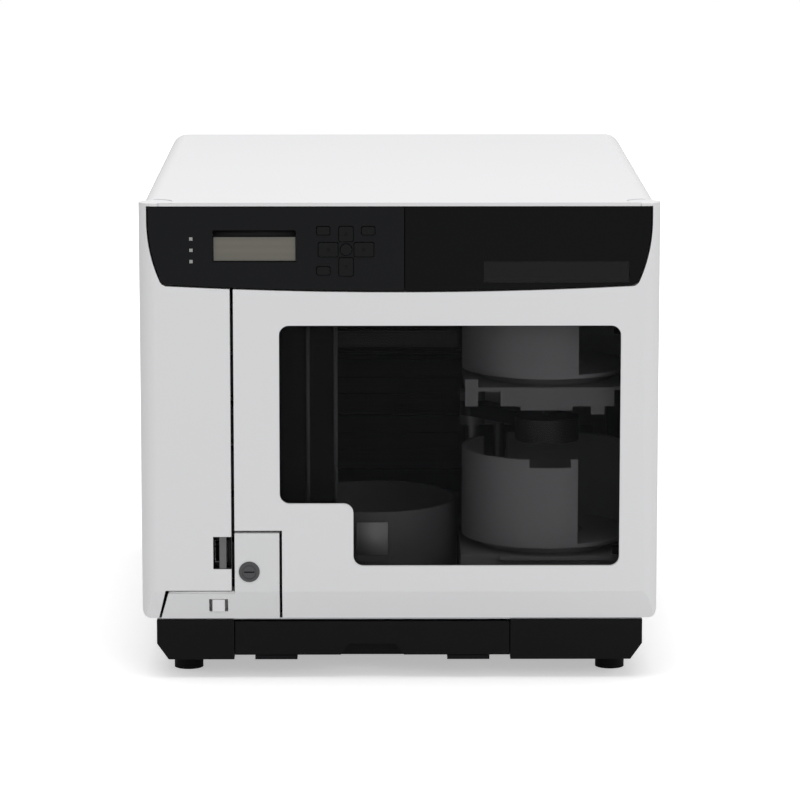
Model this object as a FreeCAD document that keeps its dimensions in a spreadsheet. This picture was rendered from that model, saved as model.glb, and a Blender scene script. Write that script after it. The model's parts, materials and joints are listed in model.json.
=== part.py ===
"""Autoloading disc label printer: a parametric assembly of separate pieces.

Frame: millimetres, +Z up, the front face towards -Y and +X to the right seen from the front.
The origin is the centre of the footprint on the surface that the printer stands on.
"""
import FreeCAD, Part
import Sketcher
import math
import os
from types import SimpleNamespace

# Driving dimensions, each written once. They become the cells of the "Sizes" sheet.
SIZES = {
    # cabinet
    "body_width": 377.0, "body_depth": 493.0, "body_height": 352.0,
    "foot_height": 14.2, "base_height": 29.5, "deck_thickness": 1.5,
    "skin": 3.0, "lid_skin": 2.5, "corner_radius": 12.0, "lid_radius": 13.0, "sill_radius": 7.0,
    "lid_skirt": 24.0, "seam": 1.2, "corner_seam": 2.0, "fit": 0.3, "pocket_gap": 0.3,
    # base
    "base_inset_side": 10.5, "base_inset_front": 6.0, "base_wall": 3.0,
    "base_chamfer_wide": 8.5, "base_chamfer_tall": 12.0,
    "foot_radius": 11.0, "foot_inset_x": 32.0, "foot_front_y": 45.5, "foot_rear_y": 45.5,
    "foot_recess": 1.5, "lug_left_x": 279.0, "lug_right_x": 138.0, "lug_width": 31.0,
    "lug_setback": 16.0,
    # front
    "crease_height": 66.2, "cant_depth": 5.0, "cover_gap": 0.5,
    "fascia_margin": 7.2, "fascia_side_start": 13.0, "fascia_side_radius": 108.5,
    "fascia_side_drop": 43.5, "fascia_corner_radius": 5.0, "fascia_bow_radius": 3194.0,
    "fascia_thickness": 4.0, "fascia_recess": 0.4, "fascia_split_x": 192.1, "beam_margin": 25.5,
    "beam_floor_z": 59.5, "cover_void_top": 68.0,
    "cover_split_x": 310.1, "cover_split_gap": 2.4,
    "window_left": 275.8, "window_right": 28.3, "window_top": 89.3, "window_bottom": 85.3,
    "window_step_x": 222.2, "window_step_z": 131.5, "window_radius": 7.2,
    "pane_lap": 6.0, "pane_thickness": 3.0,
    "corner_left_x": 14.0, "corner_slant": 5.5, "lock_panel_right": 276.3, "lock_panel_top": 109.7,
    "lock_x": 298.3, "lock_z": 81.1, "lock_radius": 7.5, "lock_cam_reach": 28.0,
    "lock_cam_width": 8.0, "lock_cam_thickness": 2.0, "lock_cam_back": 8.5,
    "lock_rim_inner": 5.4, "lock_core_radius": 4.5, "keyway_tall": 1.5,
    "power_x": 56.1, "power_z": 55.6, "power_width": 9.0, "power_tall": 9.0,
    "power_slot": 2.4,
    # hinges
    "pin_radius": 2.0, "pin_fit": 0.05, "knuckle_thickness": 6.0, "knuckle_radius": 5.0,
    "rib_thickness": 4.0, "rib_gap": 0.4, "hinge_low_z": 92.0, "hinge_high_z": 96.0,
    # ink cover latch
    "latch_recess_left": 324.5, "latch_recess_bottom": 83.0, "latch_recess_top": 107.1,
    "latch_recess_depth": 8.0, "latch_bar_width": 5.0, "latch_bar_x": 317.5, "latch_travel": 3.0,
    "latch_keeper": 4.0,
    # control panel
    "display_x": 83.9, "display_z": 31.4, "display_width": 60.2, "display_tall": 23.0,
    "display_recess": 2.0, "key_proud": 0.7, "key_gap": 0.35, "key_depth": 6.0,
    "key_clip": 0.8, "pad_x": 149.9, "pad_z": 33.9, "pad_centre_radius": 4.4,
    "pad_inner": 5.6, "pad_width": 10.8, "pad_reach_side": 20.2, "pad_reach_up": 17.0,
    "pad_reach_down": 19.4, "small_key_width": 10.0, "small_key_tall": 6.4,
    "menu_x": 133.5, "cancel_x": 165.9, "upper_key_z": 20.2, "back_key_z": 49.3,
    "lamp_x": 38.2, "lamp_top_z": 26.1, "lamp_pitch": 8.2, "lamp_size": 2.6, "lamp_count": 3.0,
    "lens_left": 128.1, "lens_right": 22.5, "lens_bottom": 58.3, "lens_tall": 16.0,
    "lens_thickness": 1.5, "display_board_width": 71.7, "display_board_tall": 34.5,
    # disc handling
    "disc_radius": 60.0, "bin_radius": 63.5, "bin_wall": 3.0, "bin_height": 66.0,
    "bin_foot_radius": 50.0, "bin_foot_height": 6.0, "bin_floor": 3.0,
    "bin_right_x": 78.0, "bin_right_y": 84.5, "bin_left_x": 208.5,
    "bin_opening_x": 20.5, "bin_opening_depth": 40.0, "bin_notch_width": 30.0, "bin_notch_deep": 6.0,
    "column_x": 132.0, "column_y": 154.5, "arm_slot_half": 12.0, "head_slot_radius": 27.0,
    "head_radius": 24.0, "head_tall": 17.5, "head_z": 5.0, "arm_half_width": 7.2,
    "arm_thickness": 11.0, "hub_radius": 9.5, "collet_radius": 7.2, "collet_depth": 3.0,
    "plunger_radius": 3.0, "plunger_travel": 3.0, "lower_seat_z": 126.0, "shelf_z": 138.3,
    "shelf_plate": 3.0, "shelf_lip_tall": 14.0, "shelf_lip_left": 114.5, "shelf_lip_right": 31.5,
    "shelf_left": 140.5, "shelf_drop_left": 22.0, "shelf_drop_right": 16.0, "shelf_tab_x": 43.5,
    "left_bin_seat_z": 48.5, "left_bin_height": 67.5, "thumb_plate_width": 24.6,
    # lift
    "shaft_radius": 5.0, "guide_radius": 4.0, "screw_radius": 4.0, "guide_x": 111.5, "screw_x": 93.5,
    "guide_y": 162.0, "lift_foot_tall": 14.0, "lift_head_z": 14.0, "lift_head_tall": 8.0,
    "carriage_half_depth": 7.5, "carriage_fork": 7.0, "hub_gap": 0.3, "lift_motor_size": 21.0,
    "lift_motor_tall": 22.0, "lift_width_right": 80.5, "shaft_fit": 0.08,
    "screw_cap_radius": 6.0, "arm_tip_half_width": 5.76,
    # compartment
    "frame_plate_y": 25.0, "frame_plate_thickness": 3.0, "bay_left": 283.5, "bay_right": 20.5,
    "bay_bottom": 66.0, "bay_top": 63.0, "bay_step_x": 236.5, "bay_step_z": 126.0,
    "post_edge_x": 257.5, "post_proud": 5.0, "ink_opening_left": 18.5, "ink_opening_right": 300.5,
    "ink_opening_bottom": 70.0, "wall_x": 291.5, "wall_thickness": 2.0,
    "plate_x": 9.5, "plate_thickness": 2.0, "floor_thickness": 2.5,
    # drawer
    "drawer_left": 309.8, "drawer_right": 107.2, "drawer_gap": 0.7, "drawer_floor": 2.6,
    "drawer_depth": 170.0, "drawer_lift": 0.4, "drawer_front_thickness": 4.5,
    "grip_top_width": 33.6, "grip_bottom_width": 48.2, "grip_tall": 8.2, "grip_deep": 12.0,
    "well_radius": 61.0, "drop_radius": 61.5, "drawer_wall": 2.5, "drawer_top_gap": 1.0,
    # drives
    "drive_width": 146.0, "drive_tall": 41.3, "drive_depth": 180.0, "drive_front_y": 170.5,
    "drive_low_z": 126.5, "drive_pitch": 43.5, "tray_width": 130.0, "tray_thickness": 6.0,
    "tray_z": 18.0, "tray_front_tall": 12.0, "tray_front_thickness": 3.0, "tray_margin": 5.0,
    "tray_tail": 30.0, "tray_gap": 0.3, "tray_well": 2.0, "tray_hole_radius": 18.0,
    "eject_width": 12.0, "eject_tall": 4.0,
    "cage_thickness": 1.5, "cage_gap": 0.3,
    # label printer unit
    "printer_z": 217.6, "printer_front_y": 178.5, "printer_rear_y": 50.5, "printer_top_z": 18.0,
    "printer_sheet": 3.0, "printer_tray_width": 130.0, "printer_tray_lift": 1.8,
    "rod_radius": 5.0, "rod_y": 312.5, "rod_z": 265.6, "head_carriage_width": 56.0,
    "head_carriage_depth": 66.0, "head_carriage_tall": 50.0, "head_carriage_x": 58.5,
    "nozzle_drop": 9.0, "printer_rail_x": 52.0, "printer_rail_end": 60.0,
    # ink
    "ink_bay_left": 20.5, "ink_bay_right": 301.5, "ink_bay_front": 36.5,
    "ink_bay_rear": 186.5, "ink_bay_bottom": 66.0, "ink_bay_wall": 2.0, "ink_count": 6.0,
    "cartridge_pitch": 34.0, "cartridge_tall": 27.0, "cartridge_gap": 0.6, "cartridge_deep": 118.0,
    # rear and electrics
    "fan_size": 80.0, "fan_deep": 25.0, "fan_x": -40.0, "fan_z": 150.0, "fan_bore": 37.5,
    "fan_hub_radius": 16.0, "fan_tip_radius": 36.0, "fan_blades": 7.0, "fan_blade_thickness": 1.6,
    "fan_blade_pitch": 35.0, "grille_pitch": 8.0, "grille_bar": 2.5, "grille_deep": 1.5,
    "inlet_x": 68.5, "inlet_z": 82.0, "inlet_width": 27.0, "inlet_tall": 20.0,
    "inlet_flange_width": 50.0, "inlet_flange_tall": 24.0, "inlet_deep": 18.0,
    "supply_left": 126.5, "supply_right": 23.5, "supply_front": 226.5, "supply_height": 62.0,
    "board_left": 23.5, "board_right": 300.5, "board_front": 10.0, "board_z": 60.0,
    "board_thickness": 1.6, "port_count": 3.0, "port_width": 14.0, "port_tall": 12.0,
    "port_pitch": 20.0, "port_edge": 11.2, "port_deep": 9.0, "socket_half_width": 4.2,
    "socket_half_tall": 3.6, "chip_count": 3.0,
    "vent_width": 40.0, "vent_tall": 3.0, "vent_pitch": 8.0, "vent_rows": 8.0,
}

# Places among the sizes are distances in from an outer face, so that they follow the cabinet.
FROM_RIGHT = ("bin_right_x", "bin_left_x", "column_x", "guide_x", "screw_x", "lift_width_right",
              "shelf_lip_left", "shelf_lip_right", "bay_left", "bay_right", "bay_step_x",
              "post_edge_x", "wall_x", "window_left", "window_right", "window_step_x",
              "cover_split_x", "lock_panel_right", "lock_x", "latch_recess_left", "latch_bar_x",
              "plate_x", "lens_left", "lens_right", "drawer_left", "drawer_right", "lug_left_x",
              "lug_right_x", "head_carriage_x", "supply_left", "supply_right", "inlet_x", "shelf_left",
              "shelf_tab_x", "ink_opening_right", "ink_bay_right", "board_right")
FROM_LEFT = ("corner_left_x", "display_x", "pad_x", "menu_x", "cancel_x", "lamp_x",
             "ink_opening_left", "ink_bay_left", "board_left", "fascia_split_x", "power_x")
FROM_TOP = ("fascia_side_start", "beam_floor_z", "cover_void_top", "window_top", "hinge_high_z",
            "display_z", "pad_z", "upper_key_z", "back_key_z", "lamp_top_z", "lens_bottom",
            "bay_top", "lift_head_z", "printer_top_z", "shelf_z")
FROM_FRONT = ("bin_right_y", "column_y", "guide_y", "drive_front_y", "printer_front_y", "rod_y",
              "ink_bay_front", "ink_bay_rear")
FROM_REAR = ("printer_rear_y", "supply_front")

FOLDER = "parts"
AXES = {"x": FreeCAD.Vector(1, 0, 0), "y": FreeCAD.Vector(0, 1, 0), "z": FreeCAD.Vector(0, 0, 1)}

doc = FreeCAD.newDocument("DiscLabelPrinter")
sheet = doc.addObject("Spreadsheet::Sheet", "Sizes")
for row, (alias, value) in enumerate(SIZES.items(), 1):
    sheet.set(f"A{row}", alias)
    sheet.set(f"B{row}", str(value))
    sheet.setAlias(f"B{row}", alias)
doc.recompute()


class Measure:
    """A length that knows its present value and the sheet formula that gives it."""

    def __init__(self, value, formula):
        self.value = value
        self.formula = formula

    def join(self, other, sign, value):
        return Measure(value, f"({self.formula} {sign} {other.formula})")

    def __add__(self, other):
        other = measure(other)
        return self.join(other, "+", self.value + other.value)

    def __sub__(self, other):
        other = measure(other)
        return self.join(other, "-", self.value - other.value)

    def __mul__(self, other):
        other = measure(other)
        return self.join(other, "*", self.value * other.value)

    def __truediv__(self, other):
        other = measure(other)
        return self.join(other, "/", self.value / other.value)

    def __radd__(self, other):
        return measure(other) + self

    def __rsub__(self, other):
        return measure(other) - self

    def __rmul__(self, other):
        return measure(other) * self

    def __neg__(self):
        return measure(0) - self


def measure(value):
    """Wrap a plain number, and leave a Measure as it is."""
    if isinstance(value, Measure):
        return value
    return Measure(float(value), repr(float(value)))


def root(value):
    """Square root of a Measure."""
    return Measure(math.sqrt(value.value), f"sqrt({value.formula})")


S = SimpleNamespace(**{alias: Measure(value, f"Sizes.{alias}") for alias, value in SIZES.items()})

# ---------------------------------------------------------------- places worked out from the sizes
HALF_WIDTH = S.body_width / 2
FRONT = -S.body_depth / 2
REAR = S.body_depth / 2
TOP = S.body_height
P = SimpleNamespace(
    **{name: HALF_WIDTH - getattr(S, name) for name in FROM_RIGHT},
    **{name: getattr(S, name) - HALF_WIDTH for name in FROM_LEFT},
    **{name: TOP - getattr(S, name) for name in FROM_TOP},
    **{name: FRONT + getattr(S, name) for name in FROM_FRONT},
    **{name: REAR - getattr(S, name) for name in FROM_REAR})
LOWER_SEAT = P.shelf_z - S.lower_seat_z
HEAD_Z = LOWER_SEAT + S.bin_foot_height + S.bin_height + S.head_z
FASCIA_HALF = HALF_WIDTH - S.fascia_margin
BEAM_HALF = HALF_WIDTH - S.beam_margin
BOARD_FRONT = P.ink_bay_rear + S.board_front
BASE_TOP = S.foot_height + S.base_height
DECK_TOP = BASE_TOP + S.deck_thickness
HINGE_X = HALF_WIDTH - S.corner_radius
HINGE_Y = FRONT + S.corner_radius
SWING_RADIUS = S.corner_radius + S.pocket_gap
COVER_BOTTOM = DECK_TOP + S.cover_gap
COVER_TOP = TOP - S.cover_gap
FASCIA_TOP = TOP - S.lid_skin - S.cover_gap
FASCIA_FRONT = FRONT + S.fascia_recess
FASCIA_BACK = FASCIA_FRONT + S.fascia_thickness
FRAME_FRONT = FRONT + S.frame_plate_y
FRAME_BACK = FRAME_FRONT + S.frame_plate_thickness
DISC_COVER_LEFT = P.cover_split_x + S.cover_split_gap / 2
INK_COVER_RIGHT = P.cover_split_x - S.cover_split_gap / 2
BASE_FRONT = FRONT + S.base_inset_front
BASE_REAR = REAR - S.base_inset_front
BASE_HALF = HALF_WIDTH - S.base_inset_side
ARM_REACH = root((P.bin_right_x - P.column_x) * (P.bin_right_x - P.column_x)
                 + (P.bin_right_y - P.column_y) * (P.bin_right_y - P.column_y))
BIN_LEFT_Y = P.column_y - root(ARM_REACH * ARM_REACH
                               - (P.column_x - P.bin_left_x) * (P.column_x - P.bin_left_x))
SLOT_ANGLE = math.degrees(math.atan2((P.column_y - P.bin_right_y).value,
                                     (P.column_x - P.bin_right_x).value))
LID_SKIRT_BOTTOM = TOP - S.lid_skirt
SIDE_FOOT = BASE_HALF - S.seam
PLATE_INNER = P.plate_x
REAR_INNER = REAR - S.skin


# ---------------------------------------------------------------- modelling helpers
def bind(item, prop, value):
    """Tie a property of a document object to the sheet."""
    item.setExpression(prop, measure(value).formula)


def seat(item, x, y, z):
    """Tie the base point of a placement to the sheet."""
    for axis, value in zip("xyz", (x, y, z)):
        bind(item, f"Placement.Base.{axis}", value)


def box(x0, x1, y0, y1, z0, z1):
    item = doc.addObject("Part::Box", "Block")
    for prop, low, high in (("Length", x0, x1), ("Width", y0, y1), ("Height", z0, z1)):
        bind(item, prop, measure(high) - measure(low))
    seat(item, x0, y0, z0)
    return item


def centred_box(x, z, width, tall, y0, y1):
    """A block centred on x and z, running from y0 to y1."""
    return box(x - width / 2, x + width / 2, y0, y1, z - tall / 2, z + tall / 2)


def rod(axis, x, y, z, radius, start, end):
    """A cylinder along an axis, from start to end; the coordinate on that axis is not used."""
    item = doc.addObject("Part::Cylinder", "Rod")
    turn = FreeCAD.Rotation(AXES["z"], AXES[axis])
    item.Placement = FreeCAD.Placement(FreeCAD.Vector(), turn)
    place = {"x": x, "y": y, "z": z}
    place[axis] = start
    seat(item, place["x"], place["y"], place["z"])
    bind(item, "Radius", radius)
    bind(item, "Height", measure(end) - measure(start))
    return item


def post(x, y, radius, z0, z1):
    return rod("z", x, y, 0, radius, z0, z1)


def tube(x, y, outer, inner, z0, z1):
    return cut(post(x, y, outer, z0, z1), post(x, y, inner, z0 - 1, z1 + 1))


def fuse(*parts):
    if len(parts) == 1:
        return parts[0]
    item = doc.addObject("Part::MultiFuse", "Joined")
    item.Shapes = list(parts)
    item.Refine = True
    return item


def cut(base, *tools):
    item = doc.addObject("Part::Cut", "Trimmed")
    item.Base = base
    item.Tool = fuse(*tools)
    item.Refine = True
    return item


def common(*parts):
    item = doc.addObject("Part::MultiCommon", "Shared")
    item.Shapes = list(parts)
    return item


def turned(item, x, y, degrees):
    """Turn an item drawn about the origin to an angle about Z, and carry it to x, y."""
    holder = doc.addObject("Part::Compound", "Turned")
    holder.Links = [item]
    holder.Placement = FreeCAD.Placement(FreeCAD.Vector(), FreeCAD.Rotation(AXES["z"], degrees))
    seat(holder, x, y, 0)
    return holder


def corner(x, y, rounded=None, arc=None):
    """A corner of an outline: rounded off, or joined to the next one by an arc of a radius."""
    return SimpleNamespace(x=measure(x), y=measure(y), rounded=rounded, arc=arc)


def fix_point(sketch, geometry, point, place):
    for kind, value in (("DistanceX", place.x), ("DistanceY", place.y)):
        number = sketch.addConstraint(
            Sketcher.Constraint(kind, -1, 1, geometry, point, value.value))
        sketch.setExpression(f"Constraints[{number}]", value.formula)


def set_radius(sketch, geometry, radius):
    number = sketch.addConstraint(Sketcher.Constraint("Radius", geometry, radius.value))
    sketch.setExpression(f"Constraints[{number}]", radius.formula)


def rounding(before, here, after):
    """Tangent points, centre and turning sense of the rounding at a corner."""
    point = FreeCAD.Vector(here.x.value, here.y.value, 0)
    back = (FreeCAD.Vector(before.x.value, before.y.value, 0) - point).normalize()
    ahead = (FreeCAD.Vector(after.x.value, after.y.value, 0) - point).normalize()
    half = back.getAngle(ahead) / 2
    reach = here.rounded.value / math.tan(half)
    centre = point + (back + ahead).normalize() * (here.rounded.value / math.sin(half))
    return point + back * reach, point + ahead * reach, centre, back.cross(ahead).z < 0


def arc_between(start, end, centre, left_turn):
    """The arc from start to end about a centre, counter-clockwise when it turns left."""
    radius = (start - centre).Length
    first, last = (start, end) if left_turn else (end, start)
    angles = [math.atan2((p - centre).y, (p - centre).x) for p in (first, last)]
    circle = Part.Circle(centre, AXES["z"], radius)
    return Part.ArcOfCircle(circle, angles[0], angles[1])


def draw(sketch, corners):
    """Draw a closed outline of straight and curved edges, every size tied to the sheet."""
    count = len(corners)
    starts, ends = [], []
    for index, here in enumerate(corners):
        place = FreeCAD.Vector(here.x.value, here.y.value, 0)
        starts.append(place)
        ends.append(place)
        if here.rounded is not None:
            before, after = corners[index - 1], corners[(index + 1) % count]
            ends[index], starts[index] = rounding(before, here, after)[:2]
    edges = []
    for index, here in enumerate(corners):
        start, end = starts[index], ends[(index + 1) % count]
        if here.arc is None:
            number = sketch.addGeometry(Part.LineSegment(start, end))
            edges.append((number, 1, 2))
            continue
        left = here.arc.value > 0
        radius = abs(here.arc.value)
        middle = (start + end) / 2
        side = FreeCAD.Vector(-(end - start).y, (end - start).x, 0).normalize()
        rise = math.sqrt(radius ** 2 - ((end - start).Length / 2) ** 2)
        centre = middle + side * (rise if left else -rise)
        number = sketch.addGeometry(arc_between(start, end, centre, left))
        set_radius(sketch, number, here.arc if left else -here.arc)
        edges.append((number, 1, 2) if left else (number, 2, 1))
    for index, here in enumerate(corners):
        arriving, leaving = edges[index - 1], edges[index]
        if here.rounded is None:
            sketch.addConstraint(
                Sketcher.Constraint("Coincident", arriving[0], arriving[2], leaving[0], leaving[1]))
            fix_point(sketch, leaving[0], leaving[1], here)
            continue
        before, after = corners[index - 1], corners[(index + 1) % count]
        start, end, centre, left = rounding(before, here, after)
        number = sketch.addGeometry(arc_between(start, end, centre, left))
        first, last = (1, 2) if left else (2, 1)
        sketch.addConstraint(Sketcher.Constraint("Tangent", arriving[0], arriving[2], number, first))
        sketch.addConstraint(Sketcher.Constraint("Tangent", number, last, leaving[0], leaving[1]))
        set_radius(sketch, number, here.rounded)
        tip = sketch.addGeometry(Part.Point(FreeCAD.Vector(here.x.value, here.y.value, 0)), True)
        fix_point(sketch, tip, 1, here)
        sketch.addConstraint(Sketcher.Constraint("PointOnObject", tip, 1, arriving[0]))
        sketch.addConstraint(Sketcher.Constraint("PointOnObject", tip, 1, leaving[0]))


def prism(plane, corners, start, end):
    """A PartDesign pad of an outline on XY, XZ or YZ, between two coordinates on its normal."""
    body = doc.addObject("PartDesign::Body", "Moulding")
    sketch = body.newObject("Sketcher::SketchObject", "Outline")
    origin = [f for f in body.Origin.OriginFeatures if f.Role == f"{plane}_Plane"][0]
    sketch.AttachmentSupport = [(origin, "")]
    sketch.MapMode = "FlatFace"
    draw(sketch, corners)
    offset = -measure(end) if plane == "XZ" else measure(start)
    bind(sketch, "AttachmentOffset.Base.z", offset)
    pad = body.newObject("PartDesign::Pad", "Pad")
    pad.Profile = sketch
    bind(pad, "Length", measure(end) - measure(start))
    body.Tip = pad
    return body


def rectangle(x0, x1, y0, y1, rounded=None):
    return [corner(x0, y0, rounded), corner(x1, y0, rounded),
            corner(x1, y1, rounded), corner(x0, y1, rounded)]


def clipped(x0, x1, y0, y1, clip):
    """A rectangle with its corners cut off at 45 degrees."""
    return [corner(x0 + clip, y0), corner(x1 - clip, y0), corner(x1, y0 + clip),
            corner(x1, y1 - clip), corner(x1 - clip, y1), corner(x0 + clip, y1),
            corner(x0, y1 - clip), corner(x0, y0 + clip)]


def mirror_x(corners, side):
    """The same outline on the right (side 1) or on the left (side -1)."""
    return [corner(c.x * side, c.y, c.rounded, c.arc) for c in corners]


PIECES = {}


def piece(name, item):
    """Name a finished piece; the name is also that of its file."""
    item.Label = name
    PIECES[name] = item
    return item


# ---------------------------------------------------------------- outlines shared by neighbours
def fascia_outline(grow, top):
    """The black fascia: straight top, sides that lean in as they fall, and a bowed lower edge."""
    half = FASCIA_HALF
    lean = S.fascia_side_drop / S.fascia_side_radius
    run = root(1 - lean * lean)
    side_x = half - S.fascia_side_radius
    side_radius = S.fascia_side_radius + grow
    side_end_x = side_x + side_radius * run
    side_end_z = P.fascia_side_start - side_radius * lean
    centre_x = side_x + (S.fascia_side_radius - S.fascia_corner_radius) * run
    centre_z = P.fascia_side_start - (S.fascia_side_radius - S.fascia_corner_radius) * lean
    small = S.fascia_corner_radius + grow
    low_z = centre_z - small
    bow = S.fascia_bow_radius + grow
    return [
        corner(-(half + grow), top),
        corner(-(half + grow), P.fascia_side_start, arc=side_radius),
        corner(-side_end_x, side_end_z, arc=small),
        corner(-centre_x, low_z, arc=bow),
        corner(centre_x, low_z, arc=small),
        corner(side_end_x, side_end_z, arc=side_radius),
        corner(half + grow, P.fascia_side_start),
        corner(half + grow, top),
    ]


def window_outline(grow):
    """The stepped window; grow moves every edge outwards."""
    outer = S.window_radius + grow
    inner = S.window_radius - grow
    left, right = P.window_left - grow, P.window_right + grow
    bottom, top = S.window_bottom - grow, P.window_top + grow
    step_x, step_z = P.window_step_x - grow, S.window_step_z - grow
    return [corner(left, top, outer), corner(left, step_z, outer), corner(step_x, step_z, inner),
            corner(step_x, bottom, outer), corner(right, bottom, outer), corner(right, top, outer)]


def corner_panel_outline(grow, bottom):
    """The fixed L at the lower left: a canted strip, and the lock panel that rises from it."""
    strip_top = S.crease_height - S.seam + grow
    left = DISC_COVER_LEFT - grow
    right = P.lock_panel_right + grow
    return [corner(P.corner_left_x - grow, bottom),
            corner(right, bottom),
            corner(right, S.lock_panel_top + grow),
            corner(left, S.lock_panel_top + grow),
            corner(left, strip_top),
            corner(P.corner_left_x + S.corner_slant - grow, strip_top)]


def front_profile(inset, back):
    """Side view of the white front: upright, then canted in below the crease."""
    face = FRONT + inset
    slope = S.cant_depth / (S.crease_height - DECK_TOP)
    crease = S.crease_height + inset * slope
    return [corner(face, TOP), corner(face, crease), corner(face + S.cant_depth, DECK_TOP),
            corner(back, DECK_TOP), corner(back, TOP)]


def cover_envelope(side, inner, bottom, top, inset):
    """A hinged cover's outer form: canted below, rolled round the corner that it is hinged at."""
    back = HINGE_Y + inset
    near = side * inner + inset
    far = HALF_WIDTH - inset
    low = bottom + inset
    behind = back + S.skin
    plan = mirror_x([corner(near, FRONT + inset), corner(far, FRONT + inset, S.corner_radius - inset),
                     corner(far, behind), corner(near, behind)], side)
    face = mirror_x([corner(near, low), corner(far, low, S.sill_radius - inset),
                     corner(far, top), corner(near, top)], side)
    ends = (inner, side * HALF_WIDTH) if side > 0 else (-HALF_WIDTH, inner)
    return common(prism("XY", plan, DECK_TOP, TOP),
                  prism("XZ", face, FRONT, back),
                  prism("YZ", front_profile(inset, back), *ends))


def hinge_rib(side, low_z):
    """A rib inside the rolled corner of a cover, which turns on the hinge pin."""
    inset = S.skin - S.fit
    ear = S.knuckle_radius
    outline = mirror_x([
        corner(HINGE_X - ear, HINGE_Y + ear), corner(HINGE_X - ear, FRONT + inset),
        corner(HALF_WIDTH - inset, FRONT + inset, S.corner_radius - inset),
        corner(HALF_WIDTH - inset, HINGE_Y + ear, ear / 2)], side)
    return prism("XY", outline, low_z, low_z + S.rib_thickness)


def hinge_heights():
    return (S.hinge_low_z, P.hinge_high_z)


def with_hinges(cover, side):
    """Add a cover's hinge ribs, bored for the pins, and the round cap that closes its corner."""
    half = S.knuckle_thickness / 2 + S.rib_gap
    ribs = []
    for height in hinge_heights():
        ribs += [hinge_rib(side, height + half), hinge_rib(side, height - half - S.rib_thickness)]
    low = min(hinge_heights(), key=lambda m: m.value) - half - S.rib_thickness
    high = max(hinge_heights(), key=lambda m: m.value) + half + S.rib_thickness
    bore = post(side * HINGE_X, HINGE_Y, S.pin_radius + S.pin_fit, low - 1, high + 1)
    cap = post(side * HINGE_X, HINGE_Y, S.corner_radius, FASCIA_TOP + S.cover_gap, COVER_TOP)
    return cut(fuse(cover, cap, *ribs), bore)


# ---------------------------------------------------------------- base, deck and feet
def base_outline(inset):
    half = BASE_HALF - inset
    low = S.foot_height + inset
    shoulder = S.foot_height + S.base_chamfer_tall + inset / 2
    tuck = half - S.base_chamfer_wide + inset / 2
    return [corner(-half, BASE_TOP), corner(-half, shoulder), corner(-tuck, low),
            corner(tuck, low), corner(half, shoulder), corner(half, BASE_TOP)]


def foot_places():
    for side in (-1, 1):
        for y in (FRONT + S.foot_front_y, REAR - S.foot_rear_y):
            yield side * (HALF_WIDTH - S.foot_inset_x), y


def base_tray():
    outer = prism("XZ", base_outline(measure(0)), BASE_FRONT, BASE_REAR)
    hollow = prism("XZ", base_outline(S.base_wall), BASE_FRONT + S.base_wall,
                   BASE_REAR - S.base_wall)
    floor_top = S.foot_height + S.base_wall
    bay = box(P.drawer_left, P.drawer_right, BASE_FRONT - 1, BASE_FRONT + S.base_wall + 1,
              floor_top, BASE_TOP + 1)
    edges = [P.drawer_left, P.lug_left_x - S.lug_width / 2, P.lug_left_x + S.lug_width / 2,
             P.lug_right_x - S.lug_width / 2, P.lug_right_x + S.lug_width / 2, P.drawer_right]
    setbacks = [box(low, high, BASE_FRONT - 1, BASE_FRONT + S.lug_setback,
                    S.foot_height - 1, floor_top + 1)
                for low, high in zip(edges[0::2], edges[1::2])]
    recesses = [post(x, y, S.foot_radius, S.foot_height - 1, S.foot_height + S.foot_recess)
                for x, y in foot_places()]
    back = BASE_FRONT + S.drawer_depth + S.base_wall
    rails = [box(P.drawer_left - S.base_wall, P.drawer_left, BASE_FRONT, back,
                 floor_top - 1, BASE_TOP),
             box(P.drawer_right, P.drawer_right + S.base_wall, BASE_FRONT, back,
                 floor_top - 1, BASE_TOP)]
    return cut(fuse(cut(outer, hollow), *rails), bay, *setbacks, *recesses)


def rubber_feet():
    """Four round feet, each plugged into its recess under the base."""
    group = doc.addObject("Part::Compound", "Feet")
    group.Links = [post(x, y, S.foot_radius - S.fit, 0, S.foot_height + S.foot_recess)
                   for x, y in foot_places()]
    return group


def chassis_deck():
    plate = box(-BASE_HALF + S.fit, BASE_HALF - S.fit, BASE_FRONT + S.base_wall, REAR_INNER,
                BASE_TOP, DECK_TOP)
    return cut(plate, post(P.bin_left_x, BIN_LEFT_Y, S.drop_radius, BASE_TOP - 1, DECK_TOP + 1))


piece("base_tray", base_tray())
piece("rubber_feet", rubber_feet())
piece("chassis_deck", chassis_deck())


# ---------------------------------------------------------------- outer panels
def side_panel(side):
    """A white side: upright skin, rolled in at the foot to stand on the deck."""
    foot = SIDE_FOOT
    inner = S.sill_radius - S.skin
    high = LID_SKIRT_BOTTOM - S.cover_gap
    outline = mirror_x([
        corner(foot, DECK_TOP), corner(HALF_WIDTH, DECK_TOP, S.sill_radius),
        corner(HALF_WIDTH, high), corner(HALF_WIDTH - S.skin, high),
        corner(HALF_WIDTH - S.skin, DECK_TOP + S.skin, inner), corner(foot, DECK_TOP + S.skin)],
        side)
    shell = prism("XZ", outline, HINGE_Y, REAR)
    pocket = post(side * HINGE_X, HINGE_Y, SWING_RADIUS, DECK_TOP - 1, TOP)
    return cut(shell, pocket)


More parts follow.
